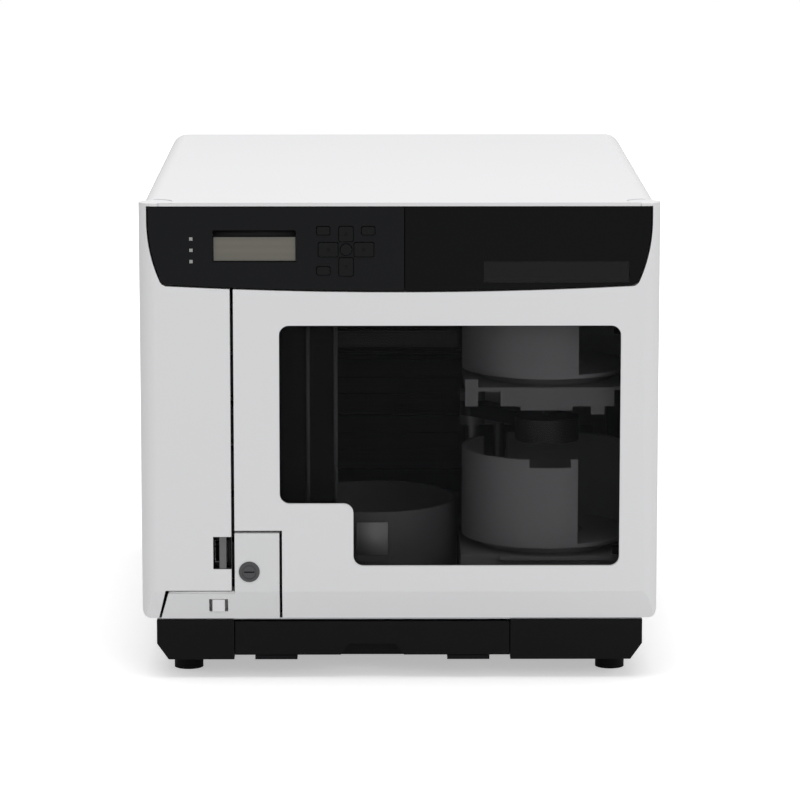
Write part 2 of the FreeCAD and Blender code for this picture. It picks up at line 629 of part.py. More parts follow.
def top_cover():
    """The lid: rolled long edges, skirts at the sides and hollows for the swinging corners."""
    low = LID_SKIRT_BOTTOM
    inner_half = HALF_WIDTH - S.skin
    inner_top = TOP - S.lid_skin
    outline = [
        corner(-HALF_WIDTH, low), corner(-inner_half, low),
        corner(-inner_half, inner_top, S.lid_radius - S.skin),
        corner(inner_half, inner_top, S.lid_radius - S.skin), corner(inner_half, low),
        corner(HALF_WIDTH, low), corner(HALF_WIDTH, TOP, S.lid_radius),
        corner(-HALF_WIDTH, TOP, S.lid_radius)]
    shell = prism("XZ", outline, FRONT, REAR)
    tools = []
    for side in (-1, 1):
        tools.append(post(side * HINGE_X, HINGE_Y, SWING_RADIUS, low - 1, TOP + 1))
        edge = sorted((side * HINGE_X, side * (HALF_WIDTH + 1)), key=lambda m: m.value)
        tools.append(box(*edge, FRONT - 1, HINGE_Y, low - 1, TOP + 1))
    return cut(shell, *tools)


def rear_panel():
    """The back: fan opening, inlet and ports, and a field of cooling slots."""
    half = HALF_WIDTH - S.skin - S.fit
    low, high = DECK_TOP + S.skin + S.fit, TOP - S.lid_skin - S.fit
    foot_round, head_round = S.sill_radius - S.skin, S.lid_radius - S.skin
    outline = [corner(-half, low, foot_round), corner(half, low, foot_round),
               corner(half, high, head_round), corner(-half, high, head_round)]
    sill = box(S.fit - SIDE_FOOT, SIDE_FOOT - S.fit, REAR_INNER, REAR, DECK_TOP, low + 1)
    plate = fuse(prism("XZ", outline, REAR_INNER, REAR), sill)
    holes = [rod("y", S.fan_x, 0, S.fan_z, S.fan_bore, REAR_INNER - 1, REAR + 1),
             centred_box(P.inlet_x, S.inlet_z, S.inlet_width + 2 * S.fit,
                         S.inlet_tall + 2 * S.fit, REAR_INNER - 1, REAR + 1)]
    for x, z in port_places():
        holes.append(centred_box(x, z, S.port_width + 2 * S.fit, S.port_tall + 2 * S.fit,
                                 REAR_INNER - 1, REAR + 1))
    bottom_z = S.fan_z + S.fan_size
    for row in range(round(S.vent_rows.value)):
        for side in (-1, 1):
            centre = side * (S.vent_width / 2 + S.vent_tall) + half / 2
            holes.append(centred_box(centre, bottom_z + row * S.vent_pitch, S.vent_width,
                                     S.vent_tall, REAR_INNER - 1, REAR + 1))
    return fuse(cut(plate, *holes), *fan_guard())


def fan_guard():
    """Straight bars and an upright rib across the fan opening, moulded with the back."""
    front = REAR - S.grille_deep
    span = 2 * (S.fan_bore + S.grille_bar)
    rows = math.floor(S.fan_bore.value / S.grille_pitch.value)
    bars = [centred_box(S.fan_x, S.fan_z + row * S.grille_pitch, span, S.grille_bar, front, REAR)
            for row in range(-rows, rows + 1)]
    return [*bars, centred_box(S.fan_x, S.fan_z, S.grille_bar, span, front, REAR)]


def port_places():
    for index in range(round(S.port_count.value)):
        yield (P.board_left + S.port_edge,
               S.board_z + S.board_thickness + S.port_tall / 2 + index * S.port_pitch)


piece("right_side_panel", side_panel(1))
piece("left_side_panel", side_panel(-1))
piece("top_cover", top_cover())
piece("rear_panel", rear_panel())


# ---------------------------------------------------------------- front frame
def hinge_lug(side, height):
    """A lug from the frame plate to the hinge pin, on the diagonal that no cover sweeps."""
    half = S.knuckle_radius / math.sqrt(2)
    run = S.frame_plate_y - S.corner_radius + half
    outline = mirror_x([
        corner(HINGE_X - half, HINGE_Y - half), corner(HINGE_X + half, HINGE_Y + half),
        corner(HINGE_X + half - run, HINGE_Y + half + run),
        corner(HINGE_X - half - run, HINGE_Y - half + run)], side)
    low, high = height - S.knuckle_thickness / 2, height + S.knuckle_thickness / 2
    return fuse(prism("XY", outline, low, high),
                post(side * HINGE_X, HINGE_Y, S.knuckle_radius, low, high))


def front_frame():
    """The black inner frame: openings of the disc and ink bays, fascia beam and hinge lugs."""
    half = PLATE_INNER - S.fit
    beam_top = FASCIA_TOP - S.fit
    wall = S.frame_plate_thickness
    plate = box(-half, half, FRAME_FRONT, FRAME_BACK, DECK_TOP, beam_top)
    disc_bay = prism("XZ", [
        corner(P.bay_left, S.bay_bottom), corner(P.bay_right, S.bay_bottom),
        corner(P.bay_right, P.bay_top), corner(P.bay_step_x, P.bay_top),
        corner(P.bay_step_x, S.bay_step_z), corner(P.bay_left, S.bay_step_z)],
        FRAME_FRONT - S.post_proud - 1, FRAME_BACK + 1)
    ink_bay = box(P.ink_opening_left, P.ink_opening_right, FRAME_FRONT - 1, FRAME_BACK + 1,
                  S.ink_opening_bottom, P.bay_top)
    shield = box(P.bay_left, P.post_edge_x, FRAME_FRONT - S.post_proud, FRAME_FRONT,
                 S.bay_step_z, P.bay_top)
    beam = box(-BEAM_HALF, BEAM_HALF, FASCIA_BACK, FRAME_BACK,
               P.beam_floor_z, beam_top)
    hollow = box(-BEAM_HALF + wall, BEAM_HALF - wall, FASCIA_BACK - 1,
                 FRAME_FRONT, P.beam_floor_z + wall, beam_top - wall)
    lugs = [hinge_lug(side, height) for side in (-1, 1) for height in hinge_heights()]
    bores = [post(side * HINGE_X, HINGE_Y, S.pin_radius + S.pin_fit, S.hinge_low_z - wall - 1,
                  P.hinge_high_z + wall + 1) for side in (-1, 1)]
    notch = SIDE_FOOT - S.fit
    notches = [box(low, low + S.base_inset_side, FRAME_FRONT - 1, FRAME_BACK + 1, DECK_TOP - 1,
                   DECK_TOP + S.skin + S.fit) for low in (notch, -notch - S.base_inset_side)]
    body = fuse(cut(plate, disc_bay, ink_bay, *notches), shield, cut(beam, hollow), *lugs)
    return cut(body, *bores)


def hinge_pins():
    length = S.knuckle_thickness + 2 * (S.rib_gap + S.rib_thickness)
    pins = [post(side * HINGE_X, HINGE_Y, S.pin_radius, height - length / 2, height + length / 2)
            for side in (-1, 1) for height in hinge_heights()]
    group = doc.addObject("Part::Compound", "Pins")
    group.Links = pins
    return group


piece("front_frame", front_frame())
piece("hinge_pins", hinge_pins())


# ---------------------------------------------------------------- covers
def disc_cover():
    """The white disc cover: a shell with a stepped window, rolled round its hinged corner."""
    outer = cover_envelope(1, DISC_COVER_LEFT, COVER_BOTTOM, COVER_TOP, measure(0))
    inner = cover_envelope(1, DISC_COVER_LEFT, COVER_BOTTOM, P.cover_void_top, S.skin)
    back = HINGE_Y + 1
    above = prism("XZ", fascia_outline(S.seam, TOP + 1), FRONT - 1, back)
    corner_panel = corner_panel_outline(S.corner_seam, DECK_TOP - 1)
    corner_wall = corner_panel_outline(S.corner_seam + S.skin, DECK_TOP - 1)
    shell = cut(outer, cut(inner, prism("XZ", corner_wall, FRONT - 1, back + S.skin)), above,
                prism("XZ", corner_panel, FRONT - 1, back),
                prism("XZ", window_outline(measure(0)), FRONT - 1, back))
    left = P.lock_panel_right + S.corner_seam
    slot = box(left - 1, left + S.skin + 1, cam_front() - S.seam,
               cam_front() + S.lock_cam_thickness + S.seam,
               S.lock_z - S.lock_radius * 2, S.lock_z + S.lock_cam_width)
    return with_hinges(cut(shell, slot), 1)


def cam_front():
    return FRONT + S.lock_cam_back - S.lock_cam_thickness


def cover_window():
    return prism("XZ", window_outline(S.pane_lap), FRONT + S.skin,
                 FRONT + S.skin + S.pane_thickness)


def latch_box(grow, back):
    return box(P.latch_recess_left - grow, INK_COVER_RIGHT, FRONT, back,
               S.latch_recess_bottom - grow, S.latch_recess_top + grow)


def ink_cover():
    """The narrow white ink cover, with a finger recess at its free edge."""
    outer = cover_envelope(-1, INK_COVER_RIGHT, COVER_BOTTOM, COVER_TOP, measure(0))
    inner = cover_envelope(-1, INK_COVER_RIGHT, S.crease_height, P.cover_void_top, S.skin)
    back = HINGE_Y + 1
    above = prism("XZ", fascia_outline(S.seam, TOP + 1), FRONT - 1, back)
    corner_panel = prism("XZ", corner_panel_outline(S.corner_seam, DECK_TOP - 1), FRONT - 1, back)
    shell = cut(outer, inner, above, corner_panel)
    pocket_back = FRONT + S.latch_recess_depth
    recess = box(P.latch_recess_left, INK_COVER_RIGHT + 1, FRONT - 1, pocket_back,
                 S.latch_recess_bottom, S.latch_recess_top)
    stem = latch_stem_slot()
    body = cut(fuse(shell, latch_box(S.skin, pocket_back + S.skin)), recess, stem)
    return with_hinges(body, -1)


def latch_stem_slot():
    half = S.latch_bar_width / 2 + S.fit
    return box(P.latch_bar_x - half - S.latch_travel, P.latch_bar_x + half,
               FRONT, HINGE_Y + 1,
               S.latch_recess_bottom + S.latch_keeper, S.latch_recess_top - S.latch_keeper)


def ink_cover_latch():
    """A bar in the finger recess, on a stem that passes its floor, with a keeper behind."""
    half = S.latch_bar_width / 2
    floor_front = FRONT + S.latch_recess_depth
    floor_back = floor_front + S.skin
    low, high = S.latch_recess_bottom, S.latch_recess_top
    bar = box(P.latch_bar_x - half, P.latch_bar_x + half, FRONT + S.seam, floor_front - S.fit,
              low + S.fit, high - S.fit)
    stem = box(P.latch_bar_x - half, P.latch_bar_x + half, floor_front - S.fit,
               floor_back + S.fit, low + S.latch_keeper + S.fit, high - S.latch_keeper - S.fit)
    keeper = box(P.latch_bar_x - half, P.latch_bar_x + half, floor_back + S.fit,
                 floor_back + S.fit + S.skin, low + S.fit, high - S.fit)
    return fuse(bar, stem, keeper)


piece("disc_cover", disc_cover())
piece("cover_window", cover_window())
piece("ink_cover", ink_cover())
piece("ink_cover_latch", ink_cover_latch())


# ---------------------------------------------------------------- fixed corner, lock and power key
def front_shell(outline_at, inset, back):
    """An outline cut from the canted front, between its face and a back plane."""
    return common(prism("XZ", outline_at, FRONT + inset, back),
                  prism("YZ", front_profile(inset, back), -HALF_WIDTH, HALF_WIDTH))


def lower_bezel():
    back = FRAME_FRONT
    bottom = DECK_TOP + S.fit / 2
    outer = front_shell(corner_panel_outline(measure(0), bottom), measure(0), back)
    inner = front_shell(corner_panel_outline(-S.skin, bottom + S.skin), S.skin, back + 1)
    lock = rod("y", P.lock_x, 0, S.lock_z, S.lock_radius + S.shaft_fit, FRONT - 1, FRONT + S.skin + 1)
    button = centred_box(P.power_x, S.power_z, S.power_width + 2 * S.power_slot,
                         S.power_tall + 2 * S.fit, FRONT - 1, FRONT + S.skin + S.cant_depth + 1)
    right = P.lock_panel_right
    slot = box(right - S.skin - 1, right + 1, cam_front() - S.seam,
               cam_front() + S.lock_cam_thickness + S.cover_gap,
               S.lock_z - S.lock_cam_reach, S.lock_z + S.lock_cam_width)
    return cut(outer, inner, lock, button, slot)


def key_cylinder():
    """The lock barrel: a proud rim, a keyway, and the cam that turns behind the panel."""
    face = FRONT - S.cover_gap
    barrel = rod("y", P.lock_x, 0, S.lock_z, S.lock_radius, face, cam_front() + S.fit)
    keyway = centred_box(P.lock_x, S.lock_z, S.lock_radius, S.keyway_tall, face - 1, FRONT + 2)
    bore = rod("y", P.lock_x, 0, S.lock_z, S.lock_rim_inner, face - 1, FRONT + S.fit)
    core = rod("y", P.lock_x, 0, S.lock_z, S.lock_core_radius, face + S.fit, FRONT + 1)
    half = S.lock_cam_width / 2
    cam = box(P.lock_x - half, P.lock_x + half, cam_front(), cam_front() + S.lock_cam_thickness,
              S.lock_z - S.lock_cam_reach, S.lock_z + half)
    return cut(fuse(cut(barrel, bore), core, cam), keyway)


def power_button():
    """A square key in the canted strip, with a flange that rests behind it."""
    half_w, half_t = S.power_width / 2, S.power_tall / 2
    face = FRONT + S.cant_depth / 2 - S.seam
    stem_back = FRONT + S.cant_depth + S.skin + S.power_slot
    cap = box(P.power_x - half_w, P.power_x + half_w, face, stem_back,
              S.power_z - half_t, S.power_z + half_t)
    low = DECK_TOP + S.fit / 2 + S.skin + S.fit
    flange = box(P.power_x - half_w - S.power_slot, P.power_x + half_w + S.power_slot, stem_back,
                 stem_back + S.skin, low, S.power_z + half_t)
    return fuse(cap, flange)


piece("lower_bezel", lower_bezel())
piece("key_cylinder", key_cylinder())
piece("power_button", power_button())


# ---------------------------------------------------------------- fascia
def key_sizes():
    """Centre, width and height of each rectangular key of the control panel."""
    mid = S.pad_inner
    up_tall, down_tall = S.pad_reach_up - mid, S.pad_reach_down - mid
    side = S.pad_reach_side - mid
    return {
        "up_key": (P.pad_x, P.pad_z + mid + up_tall / 2, S.pad_width, up_tall),
        "down_key": (P.pad_x, P.pad_z - mid - down_tall / 2, S.pad_width, down_tall),
        "left_key": (P.pad_x - mid - side / 2, P.pad_z, side, S.pad_width),
        "right_key": (P.pad_x + mid + side / 2, P.pad_z, side, S.pad_width),
        "menu_key": (P.menu_x, P.upper_key_z, S.small_key_width, S.small_key_tall),
        "cancel_key": (P.cancel_x, P.upper_key_z, S.small_key_width, S.small_key_tall),
        "back_key": (P.menu_x, P.back_key_z, S.small_key_width, S.small_key_tall),
    }


def key_block(x, z, width, tall, front, back, gap):
    """A key smaller than its place by a gap, or with no gap the hole that it moves in."""
    half_w, half_t = width / 2 - gap, tall / 2 - gap
    outline = clipped(x - half_w, x + half_w, z - half_t, z + half_t, S.key_clip)
    return prism("XZ", outline, front, back)


def lamp_blocks(gap, front, back):
    size = S.lamp_size + 2 * gap
    return [centred_box(P.lamp_x, P.lamp_top_z - row * S.lamp_pitch, size, size, front, back)
            for row in range(round(S.lamp_count.value))]


def fascia():
    return prism("XZ", fascia_outline(measure(0), FASCIA_TOP), FASCIA_FRONT, FASCIA_BACK)


def control_panel():
    """The left fascia: display recess, lamp holes and the openings of the keys."""
    split = P.fascia_split_x - S.seam / 4
    plate = common(fascia(), box(-HALF_WIDTH, split, FRONT - 1, FASCIA_BACK + 1,
                                 S.foot_height, TOP))
    front, back = FRONT - 1, FASCIA_BACK + 1
    holes = [centred_box(P.display_x, P.display_z, S.display_width, S.display_tall, front, back)]
    holes += [key_block(*sizes, front, back, measure(0)) for sizes in key_sizes().values()]
    holes += lamp_blocks(measure(0), front, back)
    holes.append(rod("y", P.pad_x, 0, P.pad_z, S.pad_centre_radius, front, back))
    return cut(plate, *holes)


def indicator_panel():
    split = P.fascia_split_x + S.seam / 4
    plate = common(fascia(), box(split, HALF_WIDTH, FRONT - 1, FASCIA_BACK + 1,
                                 S.foot_height, TOP))
    seat_back = FASCIA_FRONT + S.lens_thickness + S.fit / 2
    lens = box(P.lens_left, P.lens_right, FRONT - 1, seat_back, P.lens_bottom,
               P.lens_bottom + S.lens_tall)
    ledge = S.lens_thickness
    light = box(P.lens_left + ledge, P.lens_right - ledge, FRONT - 1, FASCIA_BACK + 1,
                P.lens_bottom + ledge, P.lens_bottom + S.lens_tall - ledge)
    return cut(plate, lens, light)


def indicator_lens():
    gap = S.fit / 2
    front = FASCIA_FRONT + gap
    return box(P.lens_left + gap, P.lens_right - gap, front, front + S.lens_thickness,
               P.lens_bottom + gap, P.lens_bottom + S.lens_tall - gap)


def display_module():
    """The display: glass in the panel's recess, and its board against the beam behind."""
    gap = S.fit / 2
    glass = centred_box(P.display_x, P.display_z, S.display_width - 2 * gap,
                        S.display_tall - 2 * gap, FASCIA_FRONT + S.display_recess, FASCIA_BACK + gap)
    board = centred_box(P.display_x, P.display_z, S.display_board_width, S.display_board_tall,
                        FASCIA_BACK + gap, FRAME_FRONT - S.fit)
    return fuse(glass, board)


def round_key():
    gap = S.key_gap
    return rod("y", P.pad_x, 0, P.pad_z, S.pad_centre_radius - gap, FASCIA_FRONT - S.key_proud,
               FASCIA_FRONT + S.key_depth)


piece("control_panel", control_panel())
piece("indicator_panel", indicator_panel())
piece("indicator_lens", indicator_lens())
piece("display_module", display_module())
for name, sizes in key_sizes().items():
    piece(name, key_block(*sizes, FASCIA_FRONT - S.key_proud, FASCIA_FRONT + S.key_depth, S.key_gap))
piece("enter_key", round_key())
lamps = doc.addObject("Part::Compound", "Lamps")
lamps.Links = lamp_blocks(-S.fit / 3, FASCIA_FRONT - S.fit, FASCIA_BACK)
piece("status_lamps", lamps)


# ---------------------------------------------------------------- compartment structure
def compartment_wall():
    """Sheet wall between the ink bay and the disc compartment, with its foot and head flanges."""
    left, right = P.wall_x, P.wall_x + S.wall_thickness
    top = P.printer_top_z
    rear = P.printer_rear_y
    wall = box(left, right, FRAME_BACK, rear, DECK_TOP, top)
    foot = box(left - S.bin_foot_height, right, FRAME_BACK, rear, DECK_TOP,
               DECK_TOP + S.wall_thickness)
    return fuse(wall, foot)


def right_frame_plate():
    """Sheet side frame on the right, standing on the deck with its foot flange."""
    left, right = PLATE_INNER, PLATE_INNER + S.plate_thickness
    return box(left, right, FRAME_FRONT, REAR_INNER, DECK_TOP + S.skin + 3 * S.fit,
               TOP - S.lid_skin - S.skin)


def compartment_floor():
    """Moulded floor: a seat for the left bin round the drop hole, and a raised right seat."""
    left, right = P.wall_x + S.wall_thickness + S.fit, SIDE_FOOT - S.fit
    front, back = FRAME_BACK + S.fit, P.drive_front_y - S.skin
    step = (P.bin_left_x + P.bin_right_x) / 2
    plate = box(left, right, front, back, DECK_TOP, DECK_TOP + S.floor_thickness)
    riser_back = P.bin_right_y + S.bin_foot_radius + S.skin
    riser = box(step, right, front, riser_back, DECK_TOP, LOWER_SEAT)
    hollow = box(step + S.skin, right - S.skin, front + S.skin, riser_back - S.skin,
                 DECK_TOP + S.floor_thickness, LOWER_SEAT - S.skin)
    lip = box(P.shelf_lip_left, P.shelf_lip_right, FRAME_FRONT - S.skin, front + 1,
              LOWER_SEAT - S.skin, LOWER_SEAT)
    drop = post(P.bin_left_x, BIN_LEFT_Y, S.drop_radius, DECK_TOP - 1, DECK_TOP + S.skin)
    column = box(P.column_x - S.hub_radius - S.seam, P.lift_width_right + S.seam,
                 P.column_y - S.hub_radius - S.seam, back + 1, DECK_TOP - 1, DECK_TOP + S.skin)
    return cut(fuse(plate, cut(riser, hollow), lip), drop, column)


def arm_way(x, y, angle, radius, half, low, high):
    """The keyhole that the disc arm passes: a round for the head and a slot towards the column."""
    slot = box(0, ARM_REACH, -half, half, low, high)
    return [turned(slot, x, y, angle), post(x, y, radius, low, high)]


def stacker_shelf():
    """Bracket of the upper bin: a plate on the side frame, a front lip and a keyhole for the arm."""
    right = PLATE_INNER - S.fit / 2
    front = FRAME_FRONT - S.skin
    left = P.shelf_left
    back = P.bin_right_y + S.bin_foot_radius + S.skin
    behind = FRAME_BACK + S.fit
    plate = box(left, right, behind, back, P.shelf_z - S.shelf_plate, P.shelf_z)
    nose = box(left, P.shelf_lip_right, front, behind + 1, P.shelf_z - S.shelf_plate, P.shelf_z)
    lip = box(P.shelf_lip_left, P.shelf_lip_right, front, front + S.skin,
              P.shelf_z - S.shelf_lip_tall, P.shelf_z)
    flange = box(right - S.skin, right, behind, back, P.shelf_z - S.shelf_lip_tall * 2, P.shelf_z)
    drop = box(P.bin_right_x - S.shelf_drop_left, P.bin_right_x + S.shelf_drop_right, front,
               front + S.skin, P.shelf_z - S.shelf_lip_tall - S.skin, P.shelf_z)
    tab = box(P.shelf_tab_x - S.knuckle_radius, P.shelf_tab_x + S.knuckle_radius, front, front + S.skin,
              P.shelf_z - S.shelf_lip_tall - 2 * S.skin, P.shelf_z)
    block = box(left, left + S.hub_radius, front, front + S.hub_radius,
                P.shelf_z - S.shelf_lip_tall, P.shelf_z + S.bin_foot_height)
    way = arm_way(P.bin_right_x, P.bin_right_y, SLOT_ANGLE, S.head_slot_radius,
                  S.arm_slot_half, P.shelf_z - S.shelf_lip_tall * 2, TOP)
    return cut(fuse(plate, nose, lip, flange, drop, tab, block), *way)


def stacker(seat_z, height, has_way, opens_right):
    """A disc bin: foot ring, floor and wall, cut away for the arm and for the fingers."""
    x, y = (P.bin_right_x, P.bin_right_y) if opens_right else (P.bin_left_x, BIN_LEFT_Y)
    floor_z = seat_z + S.bin_foot_height
    top = floor_z + height
    foot = tube(x, y, S.bin_foot_radius, S.head_slot_radius, seat_z, floor_z + 1)
    shell = post(x, y, S.bin_radius, floor_z, top)
    well = post(x, y, S.bin_radius - S.bin_wall, floor_z + S.bin_floor, top + 1)
    tools = [well]
    if has_way:
        tools += arm_way(x, y, SLOT_ANGLE, S.head_slot_radius, S.arm_slot_half, seat_z - 1, top + 1)
    front = y - S.bin_radius
    tools.append(box(x + S.bin_opening_x, x + S.bin_radius + 1, front - 1,
                     front + S.bin_opening_depth, floor_z + S.bin_floor, top + 1))
    notch = S.bin_notch_width / 2
    tools.append(box(x - notch, x + notch, front - 1, front + 2 * S.bin_wall,
                     top - S.bin_notch_deep, top + 1))
    return cut(fuse(foot, shell), *tools)


def stacker_left():
    """The left bin: a plain ring over the drop hole, with a rounded thumb plate at its front."""
    x, y = P.bin_left_x, BIN_LEFT_Y
    low = S.left_bin_seat_z
    high = low + S.left_bin_height
    ring = tube(x, y, S.bin_radius, S.bin_radius - S.bin_wall, low, high)
    ledge = tube(x, y, S.bin_radius - 1, S.bin_foot_radius, low, low + S.bin_floor)
    half = S.thumb_plate_width / 2
    front = y - S.bin_radius - S.fit
    plate = prism("XZ", rectangle(x - half, x + half, low + S.bin_notch_width,
                                  high - S.bin_foot_height, S.knuckle_radius),
                  front, front + S.bin_wall)
    return fuse(ring, ledge, plate)


piece("compartment_wall", compartment_wall())
piece("right_frame_plate", right_frame_plate())
piece("compartment_floor", compartment_floor())
piece("stacker_shelf", stacker_shelf())
piece("stacker_upper", stacker(P.shelf_z, S.bin_height, True, True))
piece("stacker_lower", stacker(LOWER_SEAT, S.bin_height, True, True))
piece("stacker_left", stacker_left())


# ---------------------------------------------------------------- output drawer
def output_drawer():
    """The fourth bin: a shallow tray in the base, with a scooped grip under its front."""
    left, right = P.drawer_left + S.drawer_gap, P.drawer_right - S.drawer_gap
    low = S.foot_height + S.base_wall + S.drawer_lift
    high = BASE_TOP - S.drawer_top_gap
    back = BASE_FRONT + S.drawer_depth - S.drawer_gap
    front_back = BASE_FRONT + S.drawer_front_thickness
    block = box(left, right, BASE_FRONT, back, low, high)
    inner = box(left + S.drawer_wall, right - S.drawer_wall, front_back, back - S.drawer_wall,
                low + S.drawer_floor, high + 1)
    x, y = P.bin_left_x, BIN_LEFT_Y
    ring = tube(x, y, S.well_radius + S.drawer_wall, S.well_radius, low + 1, high - 1)
    limit = box(left + 1, right - 1, BASE_FRONT + 1, back - 1, low, high)
    half_top, half_low = S.grip_top_width / 2, S.grip_bottom_width / 2
    scoop = prism("XZ", [corner(x - half_low, low - 1), corner(x + half_low, low - 1),
                         corner(x + half_top, low + S.grip_tall),
                         corner(x - half_top, low + S.grip_tall)],
                  BASE_FRONT - 1, BASE_FRONT + S.grip_deep)
    hood = box(x - half_low - S.drawer_wall, x + half_low + S.drawer_wall, BASE_FRONT + 1,
               BASE_FRONT + S.grip_deep + S.drawer_wall, low, low + S.grip_tall + S.drawer_wall)
    well = post(x, y, S.well_radius, low + S.drawer_floor, high + 1)
    shell = cut(block, inner)
    return cut(fuse(shell, common(ring, limit), cut(hood, well)), scoop)


piece("output_drawer", output_drawer())


# ---------------------------------------------------------------- optical drives
def tray(front_y, low, width, front_tall):
    """A disc tray: a flat slide with a dished well, a spindle hole and a front plate."""
    x = P.bin_left_x
    half = width / 2
    centre_y = front_y + S.tray_front_thickness + S.tray_margin + S.disc_radius
    back = centre_y + S.disc_radius + S.tray_tail
    high = low + S.tray_thickness
    slab = box(x - half, x + half, front_y + 1, back, low, high)
    dish = post(x, centre_y, S.disc_radius + 1, high - S.tray_well, high + 1)
    hole = box(x - S.tray_hole_radius, x + S.tray_hole_radius, centre_y - S.tray_hole_radius,
               centre_y + S.disc_radius, low - 1, high + 1)
    round_end = post(x, centre_y, S.tray_hole_radius, low - 1, high + 1)
    middle = (low + high) / 2
    plate = prism("XZ", clipped(x - half - S.fit * 2, x + half + S.fit * 2,
                                middle - front_tall / 2, middle + front_tall / 2, S.key_clip),
                  front_y, front_y + S.tray_front_thickness)
    return fuse(cut(slab, dish, hole, round_end), plate)


def drive(low):
    """A half-height drive: case, front bezel with the tray mouth, and an eject key."""
    x, half = P.bin_left_x, S.drive_width / 2
    front, back = P.drive_front_y, P.drive_front_y + S.drive_depth
    case = box(x - half, x + half, front + S.skin, back, low, low + S.drive_tall)
    bezel = prism("XZ", clipped(x - half, x + half, low, low + S.drive_tall, S.key_clip),
                  front, front + S.skin)
    tray_low = low + S.tray_z
    middle = tray_low + S.tray_thickness / 2
    gap = 2 * S.fit
    mouth = centred_box(x, middle, S.tray_width + 2 * gap + 4 * S.fit, S.tray_front_tall + 2 * gap,
                        front - 1, front + S.tray_front_thickness + gap)
    travel_end = S.tray_front_thickness + S.tray_margin + 2 * S.disc_radius + S.tray_tail
    channel = box(x - S.tray_width / 2 - S.tray_gap, x + S.tray_width / 2 + S.tray_gap,
                  front + 1, front + travel_end + 1, tray_low - S.tray_gap,
                  tray_low + S.tray_thickness + S.tray_gap)
    key = centred_box(x + half - S.eject_width, low + S.tray_z / 2, S.eject_width, S.eject_tall,
                      front - S.key_proud, front + 1)
    return fuse(cut(fuse(case, bezel), mouth, channel), key)


def drive_cage():
    """Folded sheet round both drives: two cheeks, a top, and feet on the deck."""
    x = P.bin_left_x
    half = S.drive_width / 2 + S.cage_gap
    outer = half + S.cage_thickness
    front, back = P.drive_front_y, P.drive_front_y + S.drive_depth
    ledge_z = S.drive_low_z - S.cage_gap
    top = S.printer_z - S.cage_gap
    cheeks = [box(x - outer, x - half, front, back, DECK_TOP, top),
              box(x + half, x + outer, front, back, DECK_TOP, top)]
    roof = box(x - outer, x + outer, front, back, top - S.cage_thickness, top)
    ledges = [box(x - outer, x + outer, front + S.skin, back, z - S.cage_thickness, z)
              for z in (ledge_z, ledge_z + S.drive_pitch)]
    return fuse(*cheeks, roof, *ledges)


upper_z = S.drive_low_z + S.drive_pitch
for name, low in (("drive_lower", S.drive_low_z), ("drive_upper", upper_z)):
    piece(name, drive(low))
    piece(f"{name}_tray", tray(P.drive_front_y, low + S.tray_z, S.tray_width, S.tray_front_tall))
piece("drive_cage", drive_cage())


# ---------------------------------------------------------------- label printer unit
def printer_frame():
    """The printing unit's frame: base with tray rails, cheeks for the rod, front and rear beams."""
    left = P.wall_x + S.wall_thickness + S.fit
    right = PLATE_INNER - S.fit
    sheet_gauge = S.printer_sheet
    front, rear = P.printer_front_y, P.printer_rear_y
    low, high = S.printer_z, P.printer_top_z
    base = box(left, right, front, rear, low, low + sheet_gauge)
    cheeks = [box(left, left + sheet_gauge, front, rear, low, high),
              box(right - sheet_gauge, right, front, rear, low, high)]
    face = box(left, right, front, front + sheet_gauge, low, high)
    beam = box(left, right, rear - sheet_gauge, rear, low, high)
    x = P.bin_left_x
    rail_top = low + sheet_gauge + S.printer_tray_lift - S.tray_gap
    rails = [box(middle - S.skin, middle + S.skin, front, rear - S.printer_rail_end, low + 1, rail_top)
             for middle in (x - S.printer_rail_x, x + S.printer_rail_x)]
    tray_low = low + sheet_gauge + S.printer_tray_lift
    middle = tray_low + S.tray_thickness / 2
    mouth = centred_box(x, middle, S.printer_tray_width + 8 * S.fit,
                        S.tray_front_tall + 4 * S.fit, front - 1, front + sheet_gauge + 1)
    bores = rod("x", 0, P.rod_y, S.rod_z, S.rod_radius + S.pin_fit, left - 1, right + 1)
    return cut(fuse(base, *cheeks, face, beam, *rails), mouth, bores)


def print_carriage():
    """The ink-jet head: a sleeve on the rod, the head box and the nozzle plate below it."""
    x, half = P.head_carriage_x, S.head_carriage_width / 2
    depth = S.head_carriage_depth / 2
    y = P.rod_y - depth / 2
    low = S.rod_z - S.head_carriage_tall / 2
    body = box(x - half, x + half, y - depth, y + depth, low, low + S.head_carriage_tall)
    nozzle = box(x - half / 2, x + half / 2, y - depth / 2, y + depth / 4, low - S.nozzle_drop,
                 low + 1)
    bore = rod("x", 0, P.rod_y, S.rod_z, S.rod_radius + S.shaft_fit, x - half - 1, x + half + 1)
    return cut(fuse(body, nozzle), bore)


printer_tray_z = S.printer_z + S.printer_sheet + S.printer_tray_lift
piece("printer_frame", printer_frame())
piece("printer_tray", tray(P.printer_front_y, printer_tray_z, S.printer_tray_width,
                           S.tray_front_tall))
piece("print_carriage", print_carriage())
piece("carriage_rod", rod("x", 0, P.rod_y, S.rod_z, S.rod_radius,
                          P.wall_x + S.wall_thickness + S.fit, PLATE_INNER - S.fit))


# ---------------------------------------------------------------- disc lift and arm
HUB_LOW = HEAD_Z + S.head_tall - S.arm_thickness
HUB_HIGH = HUB_LOW + S.arm_thickness
CARRIAGE_BACK = P.guide_y + S.carriage_half_depth


